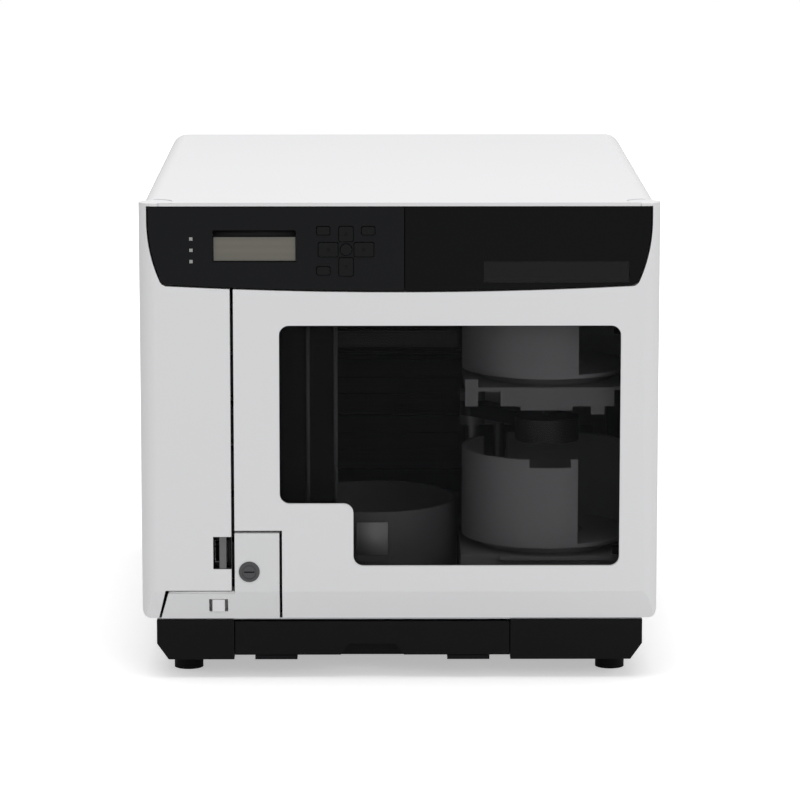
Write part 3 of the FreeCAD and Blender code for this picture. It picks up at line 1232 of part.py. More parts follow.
def lift_plate(low, high):
    """A plate that holds the ends of the shaft, the guide and the screw."""
    left = P.column_x - S.hub_radius
    plate = box(left, P.lift_width_right, P.column_y - S.hub_radius, CARRIAGE_BACK, low, high)
    fit = S.pin_fit
    bores = [post(P.column_x, P.column_y, S.shaft_radius + fit, low - 1, high + 1),
             post(P.guide_x, P.guide_y, S.guide_radius + fit, low - 1, high + 1),
             post(P.screw_x, P.guide_y, S.screw_radius + fit, low - 1, high + 1)]
    return cut(plate, *bores)


def lift_column():
    """The lift's frame: a foot plate on legs over the motor, a head plate and a back rail."""
    foot_low = DECK_TOP + S.lift_motor_tall + S.fit
    foot = lift_plate(foot_low, foot_low + S.lift_foot_tall)
    head = lift_plate(P.lift_head_z, P.lift_head_z + S.lift_head_tall)
    rail = box(P.lift_width_right - S.plate_thickness, P.lift_width_right, P.guide_y,
               CARRIAGE_BACK, DECK_TOP, P.lift_head_z + S.lift_head_tall)
    leg = box(P.column_x + S.shaft_radius + S.seam, P.guide_x - S.guide_radius - S.seam,
              P.column_y - S.hub_radius, CARRIAGE_BACK, DECK_TOP, foot_low + 1)
    return fuse(foot, head, rail, leg)


def guide_shafts():
    top = P.lift_head_z + S.lift_head_tall
    low = DECK_TOP + S.lift_motor_tall + S.fit
    shafts = [post(P.column_x, P.column_y, S.shaft_radius, low, top),
              post(P.guide_x, P.guide_y, S.guide_radius, low, top)]
    group = doc.addObject("Part::Compound", "Shafts")
    group.Links = shafts
    return group


def lift_screw():
    """The lift's screw: it stands on the motor, and its cap holds it in the head plate."""
    top = P.lift_head_z + S.lift_head_tall
    low = DECK_TOP + S.lift_motor_tall + S.fit
    shaft = post(P.screw_x, P.guide_y, S.screw_radius, low, top + S.screw_radius / 2)
    cap = post(P.screw_x, P.guide_y, S.screw_cap_radius, top + S.fit, top + S.screw_radius / 2)
    return fuse(shaft, cap)


def lift_carriage():
    """The slide: a fork round the arm's hub, and bores for the shaft, the guide and the screw."""
    low = HUB_LOW - S.hub_gap - S.carriage_fork
    high = HUB_HIGH + S.hub_gap + S.carriage_fork
    back = CARRIAGE_BACK - S.fit
    right = P.lift_width_right - S.plate_thickness - S.fit
    start = P.column_x + S.hub_radius + S.hub_gap
    block = box(start, right, P.guide_y - S.carriage_half_depth, back, low, high)
    forks = []
    for bottom in (low, high - S.carriage_fork):
        forks.append(post(P.column_x, P.column_y, S.hub_radius, bottom, bottom + S.carriage_fork))
        forks.append(box(P.column_x, start + 1, P.guide_y - S.carriage_half_depth, back - S.skin,
                         bottom, bottom + S.carriage_fork))
    bores = [post(P.column_x, P.column_y, S.shaft_radius + S.shaft_fit, low - 1, high + 1),
             post(P.guide_x, P.guide_y, S.guide_radius + S.shaft_fit, low - 1, high + 1),
             post(P.screw_x, P.guide_y, S.screw_radius + S.shaft_fit, low - 1, high + 1)]
    return cut(fuse(block, *forks), *bores)


def arm_angle():
    return math.degrees(math.atan2((P.bin_right_y - P.column_y).value,
                                   (P.bin_right_x - P.column_x).value))


def disc_arm():
    """The swinging arm: hub, tapering beam, and the head with its collet and pads."""
    root_half, tip_half = S.arm_half_width, S.arm_tip_half_width
    beam = prism("XY", [corner(0, -root_half), corner(ARM_REACH, -tip_half),
                        corner(ARM_REACH, tip_half), corner(0, root_half)], HUB_LOW, HUB_HIGH)
    hub = post(0, 0, S.hub_radius, HUB_LOW, HUB_HIGH)
    head = post(ARM_REACH, 0, S.head_radius, HEAD_Z, HEAD_Z + S.head_tall)
    pocket = tube(ARM_REACH, 0, S.head_radius - S.bin_wall, S.collet_radius + S.bin_wall,
                  HEAD_Z - 1, HEAD_Z + S.bin_wall)
    collet = post(ARM_REACH, 0, S.collet_radius, HEAD_Z - S.collet_depth, HEAD_Z + 1)
    bore = post(ARM_REACH, 0, S.plunger_radius + S.shaft_fit, HEAD_Z - S.collet_depth - 1,
                HEAD_Z + S.head_tall + 1)
    shaft = post(0, 0, S.shaft_radius + S.shaft_fit, HUB_LOW - 1, HUB_HIGH + 1)
    slits = [box(ARM_REACH - S.collet_radius - 1, ARM_REACH + S.collet_radius + 1, -S.fit, S.fit,
                 HEAD_Z - S.collet_depth - 1, HEAD_Z - S.fit)]
    arm = cut(fuse(beam, hub, cut(head, pocket), collet), bore, shaft, *slits)
    return turned(arm, P.column_x, P.column_y, arm_angle())


def gripper_plunger():
    """The pin that spreads the collet: it slides down through the head."""
    x, y = P.bin_right_x, P.bin_right_y
    top = HEAD_Z + S.head_tall
    pin = post(x, y, S.plunger_radius, HEAD_Z - S.collet_depth + S.plunger_travel,
               top + S.plunger_travel + S.fit)
    cap = post(x, y, S.collet_radius, top + S.plunger_travel + S.fit,
               top + S.plunger_travel + S.fit + S.skin)
    return fuse(pin, cap)


def lift_motor():
    """The lift's motor: it stands on the deck below the screw and turns it directly."""
    half = S.lift_motor_size / 2
    x, y = P.screw_x, P.guide_y
    case = rectangle(x - half, x + half, y - half, y + half, S.skin)
    return prism("XY", case, DECK_TOP, DECK_TOP + S.lift_motor_tall)


piece("lift_column", lift_column())
piece("guide_shafts", guide_shafts())
piece("lift_screw", lift_screw())
piece("lift_carriage", lift_carriage())
piece("disc_arm", disc_arm())
piece("gripper_plunger", gripper_plunger())
piece("lift_motor", lift_motor())


# ---------------------------------------------------------------- ink, power, board and fan
def ink_bay():
    """A tall rack with a cell for each cartridge, open to the front."""
    count = round(S.ink_count.value)
    wall = S.ink_bay_wall
    height = S.ink_count * S.cartridge_pitch + wall
    shell = box(P.ink_bay_left, P.ink_bay_right, P.ink_bay_front, P.ink_bay_rear,
                S.ink_bay_bottom, S.ink_bay_bottom + height)
    cells = [box(P.ink_bay_left + wall, P.ink_bay_right - wall, P.ink_bay_front - 1,
                 P.ink_bay_rear - wall, S.ink_bay_bottom + wall + row * S.cartridge_pitch,
                 S.ink_bay_bottom + (row + 1) * S.cartridge_pitch) for row in range(count)]
    foot = box(P.ink_bay_left + wall, P.ink_bay_right - wall, P.ink_bay_front, P.ink_bay_rear,
               DECK_TOP, S.ink_bay_bottom + wall)
    return cut(fuse(shell, foot), *cells)


def ink_cartridges():
    """One cartridge to each cell, with a grip tab at its front."""
    count = round(S.ink_count.value)
    wall = S.ink_bay_wall + S.cartridge_gap
    blocks = []
    for row in range(count):
        low = S.ink_bay_bottom + S.ink_bay_wall + row * S.cartridge_pitch + S.fit / 2
        left, right = P.ink_bay_left + wall, P.ink_bay_right - wall
        body = box(left, right, P.ink_bay_front + S.skin, P.ink_bay_front + S.cartridge_deep,
                   low, low + S.cartridge_tall)
        middle = (left + right) / 2
        tab = box(middle - S.key_depth, middle + S.key_depth, P.ink_bay_front,
                  P.ink_bay_front + S.skin + 1, low + S.skin, low + S.cartridge_tall - S.skin)
        blocks.append(fuse(body, tab))
    group = doc.addObject("Part::Compound", "Cartridges")
    group.Links = blocks
    return group


def power_supply():
    """A sheet-metal power unit on the deck, with vent slots along its side."""
    back = REAR_INNER - S.inlet_deep - S.fit
    case = box(P.supply_left, P.supply_right, P.supply_front, back, DECK_TOP,
               DECK_TOP + S.supply_height)
    slots = []
    rows = round(S.vent_rows.value)
    for row in range(rows):
        y = P.supply_front + S.vent_width + row * S.vent_pitch
        slots.append(box(P.supply_left - 1, P.supply_left + S.skin, y, y + S.vent_tall,
                         DECK_TOP + S.vent_width / 4, DECK_TOP + S.vent_width))
    return cut(case, *slots)


def power_inlet():
    """A mains inlet: flange outside the back, socket body through it, and three blades."""
    x, z = P.inlet_x, S.inlet_z
    proud = S.cover_gap
    flange = prism("XZ", rectangle(x - S.inlet_flange_width / 2, x + S.inlet_flange_width / 2,
                                   z - S.inlet_flange_tall / 2, z + S.inlet_flange_tall / 2,
                                   S.skin), REAR, REAR + proud)
    body = centred_box(x, z, S.inlet_width, S.inlet_tall, REAR_INNER - S.inlet_deep + S.skin, REAR + 1)
    socket = centred_box(x, z, S.inlet_width - S.skin, S.inlet_tall - S.skin,
                         REAR_INNER - S.inlet_deep + 2 * S.skin, REAR + proud + 1)
    blades = [centred_box(x + step * S.knuckle_thickness, z + (S.skin - 1) * (1 if step == 0 else -1),
                          S.plate_thickness, S.eject_tall, REAR_INNER - S.inlet_deep + S.skin, REAR)
              for step in (-1, 0, 1)]
    return fuse(cut(fuse(flange, body), socket), *blades)


def main_board():
    """The controller board on the deck, with its ports reaching into the back."""
    back = REAR_INNER - S.fit
    low = S.board_z
    board = box(P.board_left, P.board_right, BOARD_FRONT, back, low, low + S.board_thickness)
    ports = []
    for x, z in port_places():
        ports.append(centred_box(x, z, S.port_width, S.port_tall, back - S.port_pitch, REAR - S.fit))
    half = S.skin
    feet = [box(x - half, x + half, y - half, y + half, DECK_TOP, low + 1)
            for x in (P.board_left + S.knuckle_radius, P.board_right - S.knuckle_radius)
            for y in (BOARD_FRONT + S.knuckle_radius, back - S.knuckle_radius)]
    chips = [centred_chip(row) for row in range(round(S.chip_count.value))]
    sockets = [centred_box(x, z, 2 * S.socket_half_width, 2 * S.socket_half_tall,
                           REAR - S.port_deep, REAR + 1) for x, z in port_places()]
    x, top = list(port_places())[-1]
    riser = box(x - S.port_width / 2, x + S.port_width / 2,
                back - S.port_pitch - S.board_thickness, back - S.port_pitch, low,
                top + S.port_tall / 2)
    return cut(fuse(board, riser, *ports, *feet, *chips), *sockets)


def centred_chip(row):
    x = (P.board_left + P.board_right) / 2
    y = BOARD_FRONT + S.vent_width + row * S.vent_width
    half = S.port_width / 2
    low = S.board_z + S.board_thickness / 2
    return box(x - half, x + half, y - half, y + half, low, low + S.skin)


def fan_frame():
    """The fan's square frame with its bore, hub disc and struts."""
    back = REAR_INNER
    front = back - S.fan_deep
    half = S.fan_size / 2
    x, z = S.fan_x, S.fan_z
    frame = prism("XZ", rectangle(x - half, x + half, z - half, z + half, S.knuckle_radius),
                  front, back)
    bore = rod("y", x, 0, z, S.fan_bore, front - 1, back + 1)
    hub = rod("y", x, 0, z, S.fan_hub_radius, front, front + S.skin)
    struts = [centred_box(x, z, 2 * S.fan_bore + 1, S.skin, front, front + S.skin),
              centred_box(x, z, S.skin, 2 * S.fan_bore + 1, front, front + S.skin)]
    pin = rod("y", x, 0, z, S.pin_radius, front, back - S.knuckle_radius)
    return fuse(cut(frame, bore), hub, *struts, pin)


def fan_rotor():
    """The rotor: a cup on the fan's pin, and blades pitched across its depth."""
    front = REAR_INNER - S.fan_deep + S.skin + S.seam
    back = REAR_INNER - S.knuckle_radius
    x, z = S.fan_x, S.fan_z
    count = round(S.fan_blades.value)
    hub = rod("y", x, 0, z, S.fan_hub_radius, front, back)
    pitch = math.tan(math.radians(S.fan_blade_pitch.value))
    parts = [hub]
    depth = back - front
    for index in range(count):
        blade = fan_blade(front, depth, pitch)
        holder = doc.addObject("Part::Compound", "Blade")
        holder.Links = [blade]
        spin = FreeCAD.Rotation(AXES["y"], index * 360 / count)
        holder.Placement = FreeCAD.Placement(FreeCAD.Vector(), spin)
        seat(holder, x, 0, z)
        parts.append(holder)
    bore = rod("y", x, 0, z, S.pin_radius + S.shaft_fit, front - 1, back + 1)
    return cut(fuse(*parts), bore)


def fan_blade(front, depth, pitch):
    """One blade, drawn along +X from the hub and slanted across the fan's depth."""
    half = S.fan_blade_thickness / 2
    lean = depth * pitch / 2
    inset = S.fit * 2
    outline = [corner(-lean - half, -(front + inset)), corner(-lean + half, -(front + inset)),
               corner(lean + half, -(front + depth - inset)),
               corner(lean - half, -(front + depth - inset))]
    body = doc.addObject("PartDesign::Body", "Vane")
    sketch = body.newObject("Sketcher::SketchObject", "Section")
    origin = [f for f in body.Origin.OriginFeatures if f.Role == "YZ_Plane"][0]
    sketch.AttachmentSupport = [(origin, "")]
    sketch.MapMode = "FlatFace"
    turned_outline = [corner(-c.y, c.x) for c in outline]
    draw(sketch, turned_outline)
    bind(sketch, "AttachmentOffset.Base.z", S.fan_hub_radius - 1)
    pad = body.newObject("PartDesign::Pad", "Pad")
    pad.Profile = sketch
    bind(pad, "Length", S.fan_tip_radius - S.fan_hub_radius + 1)
    body.Tip = pad
    return body


piece("ink_bay", ink_bay())
piece("ink_cartridges", ink_cartridges())
piece("power_supply", power_supply())
piece("power_inlet", power_inlet())
piece("main_board", main_board())
piece("fan_frame", fan_frame())
piece("fan_rotor", fan_rotor())


# ---------------------------------------------------------------- check and export
def write_pieces():
    doc.recompute()
    failed = [item.Name for item in doc.Objects if {"Invalid", "Error"} & set(item.State)]
    if failed:
        raise RuntimeError(f"objects that failed to build: {failed}")
    for name, item in PIECES.items():
        if item.Shape.isNull() or not item.Shape.isValid():
            raise RuntimeError(f"{name} has no valid shape")
    os.makedirs(FOLDER, exist_ok=True)
    for name, item in PIECES.items():
        item.Shape.exportStep(os.path.join(FOLDER, f"{name}.step"))


write_pieces()
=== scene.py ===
"""Looks of the disc label printer: materials, small trim, studio and camera.

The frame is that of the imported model: metres, +Z up, the front face towards -Y, +X to the right.
"""
import json
import math

import bmesh
import bpy
from mathutils import Euler, Matrix, Vector

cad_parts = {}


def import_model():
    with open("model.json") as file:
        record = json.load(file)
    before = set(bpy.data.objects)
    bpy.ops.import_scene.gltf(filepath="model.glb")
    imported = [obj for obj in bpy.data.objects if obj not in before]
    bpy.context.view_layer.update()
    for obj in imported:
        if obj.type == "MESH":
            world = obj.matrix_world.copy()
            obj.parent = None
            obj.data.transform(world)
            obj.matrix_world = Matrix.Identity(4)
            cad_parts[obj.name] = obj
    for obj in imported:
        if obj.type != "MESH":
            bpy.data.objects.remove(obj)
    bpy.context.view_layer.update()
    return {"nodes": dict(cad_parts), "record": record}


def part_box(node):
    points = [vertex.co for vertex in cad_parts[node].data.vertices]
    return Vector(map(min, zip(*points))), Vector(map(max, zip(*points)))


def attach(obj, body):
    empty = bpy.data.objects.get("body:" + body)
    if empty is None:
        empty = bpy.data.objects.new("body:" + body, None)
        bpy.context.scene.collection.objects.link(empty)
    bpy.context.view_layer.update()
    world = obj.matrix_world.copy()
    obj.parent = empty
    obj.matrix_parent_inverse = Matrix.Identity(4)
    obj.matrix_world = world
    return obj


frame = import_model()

NODES = frame["nodes"]
MM = 0.001
SCREW_PITCH = 0.008


# ---------------------------------------------------------------- shader helpers
NOISE_LOW, NOISE_HIGH = 0.3, 0.7
SLOW_SCALE, FINE_DETAIL = 9.0, 4.0
WAVE_SCALE, WAVE_STRENGTH, WAVE_DEPTH, HAZE_SCALE = 14.0, 0.05, 0.4, 60.0
ROW_SCALE, ROW_CLOUD_SCALE, GLASS_GRAIN = 55.0, 30.0, 300.0
THREAD_STRENGTH, THREAD_DEPTH = 0.8, 0.6


def new_material(name):
    """A material, its node tree and its shader."""
    material = bpy.data.materials.new(name)
    material.use_nodes = True
    tree = material.node_tree
    return material, tree, tree.nodes["Principled BSDF"]


def add(tree, kind, links=(), **settings):
    """Add a node, set its properties and link its inputs from other nodes' outputs."""
    node = tree.nodes.new(kind)
    for name, value in settings.items():
        setattr(node, name, value)
    for socket, source in links:
        tree.links.new(source, node.inputs[socket])
    return node


def set_inputs(node, **values):
    """Set input sockets by name, with underscores for spaces."""
    for name, value in values.items():
        node.inputs[name.replace("_", " ")].default_value = value


def calculate(tree, operation, first, second=None):
    """A sum on one output and a second output or number."""
    node = add(tree, "ShaderNodeMath", [(0, first)], operation=operation)
    if isinstance(second, (int, float)):
        node.inputs[1].default_value = second
    elif second is not None:
        tree.links.new(second, node.inputs[1])
    return node.outputs[0]


def coordinates(tree, stretch=(1, 1, 1)):
    """Object coordinates, stretched along the axes for a drawn or brushed surface."""
    place = add(tree, "ShaderNodeTexCoord")
    mapping = add(tree, "ShaderNodeMapping", [("Vector", place.outputs["Object"])])
    mapping.inputs["Scale"].default_value = stretch
    return mapping.outputs["Vector"]


def noise(tree, vector, scale, detail=3.0, roughness=0.5):
    """The height of a cloudy pattern, between 0 and 1."""
    node = add(tree, "ShaderNodeTexNoise", [("Vector", vector)])
    set_inputs(node, Scale=scale, Detail=detail, Roughness=roughness)
    return node.outputs["Fac"]


def spread(tree, factor, low, high):
    """A value that runs from low to high as the noise does."""
    node = add(tree, "ShaderNodeMapRange", [("Value", factor)])
    set_inputs(node, From_Min=NOISE_LOW, From_Max=NOISE_HIGH, To_Min=low, To_Max=high)
    return node.outputs["Result"]


def tint(tree, factor, low, high):
    """A colour that runs between two near shades."""
    node = add(tree, "ShaderNodeMix", data_type="RGBA")
    colours = [socket for socket in node.inputs if socket.type == "RGBA"]
    factors = [socket for socket in node.inputs if socket.type == "VALUE"]
    tree.links.new(factor, factors[0])
    colours[0].default_value = (*low, 1)
    colours[1].default_value = (*high, 1)
    return [socket for socket in node.outputs if socket.type == "RGBA"][0]


def shade(colour, factor):
    """A lighter or darker shade of a colour."""
    return tuple(min(1.0, c * factor) for c in colour)


def softened(tree, edge):
    """Normals that roll over each edge by a radius in millimetres, as a moulded edge does."""
    soft = add(tree, "ShaderNodeBevel", samples=4)
    set_inputs(soft, Radius=edge * MM)
    return soft.outputs["Normal"]


def relief(tree, height, strength, depth, normal=None):
    """Normals that follow a height, up to a depth in millimetres."""
    links = [("Height", height)] + ([("Normal", normal)] if normal else [])
    node = add(tree, "ShaderNodeBump", links)
    set_inputs(node, Strength=strength, Distance=depth * MM)
    return node.outputs["Normal"]


# ---------------------------------------------------------------- materials
def surface(name, colour, roughness, grain, bump, vary=0.03, stretch=(1, 1, 1), edge=0.5,
            depth=0.05, **shader):
    """A moulded, painted or brushed surface: slow shade changes, fine grain, softened edges."""
    material, tree, principled = new_material(name)
    vector = coordinates(tree, stretch)
    slow = noise(tree, vector, SLOW_SCALE)
    fine = noise(tree, vector, grain, detail=FINE_DETAIL)
    tree.links.new(tint(tree, slow, shade(colour, 1 - vary), shade(colour, 1 + vary)),
                   principled.inputs["Base Color"])
    tree.links.new(spread(tree, fine, roughness * 0.9, roughness * 1.1),
                   principled.inputs["Roughness"])
    normal = relief(tree, fine, bump, depth, softened(tree, edge))
    tree.links.new(normal, principled.inputs["Normal"])
    set_inputs(principled, **shader)
    return material


def smoked(name, colour, alpha, specular, roughness=0.05):
    """Smoke-tinted clear plastic, faintly wavy."""
    material, tree, principled = new_material(name)
    vector = coordinates(tree)
    waves = relief(tree, noise(tree, vector, WAVE_SCALE), WAVE_STRENGTH, WAVE_DEPTH)
    haze = noise(tree, vector, HAZE_SCALE)
    tree.links.new(waves, principled.inputs["Normal"])
    tree.links.new(spread(tree, haze, roughness * 0.8, roughness * 1.2),
                   principled.inputs["Roughness"])
    set_inputs(principled, Base_Color=(*colour, 1), Alpha=alpha, Specular_IOR_Level=specular)
    return material


def display(name, colour):
    """The grey-green face of a liquid crystal display, with faint rows."""
    material, tree, principled = new_material(name)
    vector = coordinates(tree)
    rows = add(tree, "ShaderNodeTexWave", [("Vector", vector)], wave_type="BANDS",
               bands_direction="Z")
    set_inputs(rows, Scale=ROW_SCALE, Distortion=0.3, Detail=1.0)
    mixed = calculate(tree, "MULTIPLY", rows.outputs["Fac"], noise(tree, vector, ROW_CLOUD_SCALE))
    tree.links.new(tint(tree, mixed, shade(colour, 0.96), shade(colour, 1.06)),
                   principled.inputs["Base Color"])
    tree.links.new(relief(tree, noise(tree, vector, GLASS_GRAIN), 0.03, 0.05),
                   principled.inputs["Normal"])
    set_inputs(principled, Roughness=0.25, Specular_IOR_Level=0.3)
    return material


def threaded(name, colour, pitch):
    """A rolled steel thread: a helix of ridges about an upright screw."""
    material, tree, principled = new_material(name)
    place = add(tree, "ShaderNodeTexCoord")
    parts = add(tree, "ShaderNodeSeparateXYZ", [("Vector", place.outputs["Object"])])
    low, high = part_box("lift_screw")
    axis_x, axis_y = (low[0] + high[0]) / 2, (low[1] + high[1]) / 2
    across = calculate(tree, "SUBTRACT", parts.outputs["X"], axis_x)
    along = calculate(tree, "SUBTRACT", parts.outputs["Y"], axis_y)
    angle = calculate(tree, "ARCTAN2", along, across)
    rise = calculate(tree, "MULTIPLY", parts.outputs["Z"], 2 * math.pi / pitch)
    ridge = calculate(tree, "SINE", calculate(tree, "ADD", angle, rise))
    tree.links.new(relief(tree, ridge, THREAD_STRENGTH, THREAD_DEPTH), principled.inputs["Normal"])
    set_inputs(principled, Base_Color=(*colour, 1), Roughness=0.28, Metallic=1.0)
    return material


WHITE = (0.80, 0.80, 0.81)
STEEL = (0.42, 0.43, 0.44)
MATERIALS = {
    "shell_white": surface("shell_white", WHITE, 0.62, 1500, 0.22, vary=0.008,
                           Specular_IOR_Level=0.2),
    "latch_grey": surface("latch_grey", (0.12, 0.12, 0.122), 0.45, 1500, 0.2, vary=0.03),
    "base_black": surface("base_black", (0.0048, 0.0046, 0.0053), 0.5, 1800, 0.35, vary=0.08,
                          Specular_IOR_Level=0.08),
    "fascia_black": surface("fascia_black", (0.0075, 0.0078, 0.009), 0.35, 900, 0.08, vary=0.08,
                            Specular_IOR_Level=0.07),
    "key_black": surface("key_black", (0.005, 0.0052, 0.0058), 0.42, 900, 0.12, vary=0.06,
                         edge=0.35, Specular_IOR_Level=0.1),
    "smoked_clear": smoked("smoked_clear", (0.004, 0.004, 0.0045), 0.34, 0.05),
    "display_glass": display("display_glass", (0.14, 0.133, 0.11)),
    "lamp_clear": surface("lamp_clear", (0.30, 0.31, 0.30), 0.25, 600, 0.05, vary=0.02, edge=0.2),
    "lock_metal": surface("lock_metal", (0.065, 0.065, 0.068), 0.32, 900, 0.15, vary=0.1,
                          edge=0.25, Metallic=0.9),
    "foot_rubber": surface("foot_rubber", (0.009, 0.009, 0.009), 0.8, 900, 0.5, vary=0.1,
                           Specular_IOR_Level=0.1),
    "chassis_steel": surface("chassis_steel", STEEL, 0.38, 500, 0.15, vary=0.05,
                             stretch=(1, 0.2, 1), Metallic=0.9),
    "bright_steel": surface("bright_steel", (0.62, 0.62, 0.64), 0.18, 900, 0.1, Metallic=1.0),
    "bay_grey": surface("bay_grey", (0.30, 0.293, 0.305), 0.55, 1500, 0.25, vary=0.04),
    "bin_plastic": surface("bin_plastic", (0.39, 0.383, 0.40), 0.42, 1200, 0.15, vary=0.03,
                           edge=0.8),
    "drive_black": surface("drive_black", (0.008, 0.008, 0.009), 0.55, 1500, 0.15,
                           Specular_IOR_Level=0.05),
    "printer_plastic": surface("printer_plastic", (0.03, 0.03, 0.032), 0.5, 1500, 0.25),
    "arm_plastic": surface("arm_plastic", (0.03, 0.03, 0.032), 0.45, 1500, 0.2, edge=0.8),
    "lift_alloy": surface("lift_alloy", (0.35, 0.35, 0.36), 0.45, 700, 0.1, Metallic=0.3),
    "motor_black": surface("motor_black", (0.03, 0.03, 0.03), 0.4, 900, 0.2),
    "ink_body": surface("ink_body", (0.035, 0.035, 0.04), 0.4, 1200, 0.15),
    "board_green": surface("board_green", (0.02, 0.10, 0.04), 0.35, 400, 0.1, vary=0.15),
    "inlet_black": surface("inlet_black", (0.012, 0.012, 0.012), 0.45, 1500, 0.2,
                           Specular_IOR_Level=0.2),
    "fan_black": surface("fan_black", (0.016, 0.016, 0.016), 0.45, 1500, 0.2,
                         Specular_IOR_Level=0.2),
}
# partly painted shade: dark paint on the drive cage and inner frames, made dark also to stand in
# for the shade inside the cabinet
DARK_STEEL_AND_SHADE = surface("dark_steel_and_painted_shade", (0.016, 0.016, 0.017), 0.6, 900, 0.2, vary=0.05,
                  Specular_IOR_Level=0.1)
OWN_MATERIALS = {
    "lift_screw": threaded("screw_thread", (0.40, 0.40, 0.42), SCREW_PITCH),
    "guide_shafts": surface("ground_steel", (0.30, 0.30, 0.31), 0.35, 900, 0.08, Metallic=0.8),
    "indicator_panel": surface("panel_black", (0.0035, 0.0036, 0.004), 0.4, 900, 0.08, vary=0.08,
                               Specular_IOR_Level=0.06),
    "indicator_lens": smoked("lens_smoke", (0.009, 0.009, 0.010), 0.9, 0.08),
    # painted shade: a slightly darker copy of the shell's white, for the bezel's face catching less
    # light
    "lower_bezel": surface("bezel_white_painted_shade", (0.755, 0.76, 0.765), 0.5, 1500, 0.22, vary=0.008,
                           Specular_IOR_Level=0.3),
    "stacker_left": surface("bin_dark", (0.20, 0.195, 0.205), 0.42, 1200, 0.15, vary=0.03,
                            edge=0.8),
    "drive_cage": DARK_STEEL_AND_SHADE,
    "printer_frame": DARK_STEEL_AND_SHADE,
    "compartment_wall": DARK_STEEL_AND_SHADE,
    "right_frame_plate": DARK_STEEL_AND_SHADE,
}

for entry in frame["record"]["subparts"]:
    finish = OWN_MATERIALS.get(entry["node"], MATERIALS[entry["material_slot"]])
    for slot in NODES[entry["node"]].material_slots:
        slot.material = finish


# ---------------------------------------------------------------- small trim
# Sizes and places in this section are millimetres. make() turns them into metres.
TOUCH = 0.02
SEEN_EDGE = 0.3

DISPLAY_X, DISPLAY_Z = -104.6, 320.6
DISPLAY_WIDTH, DISPLAY_TALL = 60.2, 23.0
DISPLAY_RECESS = 2.0
# painted shade: height of the black band above the glass, which stands in for the recess's shadow
DISPLAY_SHADE_BAND = 4.4
MASK_PLAY = 0.25
MASK_RIM_SIDE, MASK_RIM_END = 0.6, 0.7

ARROW = ((-1.7, -1.1), (1.7, -1.1), (0, 1.5))
ARROW_RISE = 0.15

LINER_FRONT, LINER_BACK, LINER_SHEET = -245.4, -238.52, 0.22
RECESS_LEFT, RECESS_RIGHT, RECESS_BOTTOM, RECESS_TOP = -136.0, -122.9, 83.0, 107.1
STEM_LEFT, STEM_RIGHT, STEM_BOTTOM, STEM_TOP = -134.9, -126.1, 86.9, 103.2

PAD_HALF_WIDTH, PAD_THICK = 11.6, 0.3
PAD_BOTTOM, PAD_TOP = 84.0, 108.5

STRIPS = {
    "left": {"x": (-68.0, -65.5), "y": (-226.9, -221.48)},
    "right": {"x": (-48.02, -45.2), "y": (-222.1, -219.0)},
}
STRIP_BOTTOM, STRIP_TOP = 127.5, 285.0

LIP_LEFT, LIP_RIGHT = -168.4, -120.5
LIP_FRONT, LIP_BACK = -246.25, -243.4
LIP_BOTTOM, LIP_TOP = 64.98, 66.3

SCREW_RADIUS, SCREW_RISE = 3.0, 0.45
SCREW_EDGE, SCREW_LOW, SCREW_HIGH = 9.0, 21.6, 19.8
SCREW_MIDDLE_X, SCREW_MIDDLE_LOW = 55.0, 7.2
FAN_SCREW_EDGE = 4.5

PORT_X, PORT_LOW_Z = -153.8, 67.6
PORT_PITCH, PORT_COUNT = 20.0, 3
PORT_OUTER, PORT_INNER = (13.6, 11.6), (8.2, 7.0)
PORT_SINK, PORT_DEPTH, PORT_CHAMFER, PORT_EDGE = 0.06, 8.2, 0.25, 0.12
PORT_INSIDES = {
    "floor": {"half": (4.15, 3.55), "depths": (8.9, 8.1)},
    "tongue": {"half": (2.4, 1.5), "depths": (8.3, 2.2)},
}

BLADE_PITCH, BLADE_LIFT = 6.0, 2.0
BLADE_HALF_WIDTH, BLADE_HALF_TALL = 1.12, 2.12
BLADE_ROOT, BLADE_TIP = 12.0, 0.4

INKS = ((0.02, 0.02, 0.022), (0.0, 0.22, 0.50), (0.55, 0.01, 0.16), (0.80, 0.62, 0.02),
        (0.22, 0.58, 0.75), (0.85, 0.35, 0.50))
CARTRIDGE_SPACE = 7.0
BAND_LEFT, BAND_RIGHT = 3.0, 16.0
BAND_FRONT, BAND_BACK = 2.6, 3.05
BAND_BOTTOM, BAND_TOP = 4.0, 23.0

DRIVE_FACE = 0.7
DRIVE_LAMP_LEFT, DRIVE_LAMP_RIGHT = 10.0, 15.0
DRIVE_LAMP_BOTTOM, DRIVE_LAMP_TOP = 8.0, 9.6
DRIVE_LAMP_OUT, DRIVE_LAMP_IN = 0.4, 0.3

# painted shade: the near-black of the finger recess's lining stands in for the shade in the recess
RECESS_SHADE_GREY = surface("recess_shade_grey", (0.03, 0.03, 0.032), 0.6, 900, 0.2, vary=0.05,
                     Specular_IOR_Level=0.1)
PAD_GREY = surface("pad_grey", (0.74, 0.74, 0.75), 0.5, 1200, 0.15)
# partly painted highlight: the strips' pale grey stands in for light caught on the frame's upright
# edges
STRIP_HIGHLIGHT_GREY = surface("strip_grey_painted_highlight", (0.14, 0.14, 0.146), 0.5, 900, 0.2, vary=0.05,
                     Specular_IOR_Level=0.1)


def corners(node):
    """The lowest and the highest corner of a CAD piece at rest."""
    return [[value / MM for value in corner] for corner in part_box(node)]


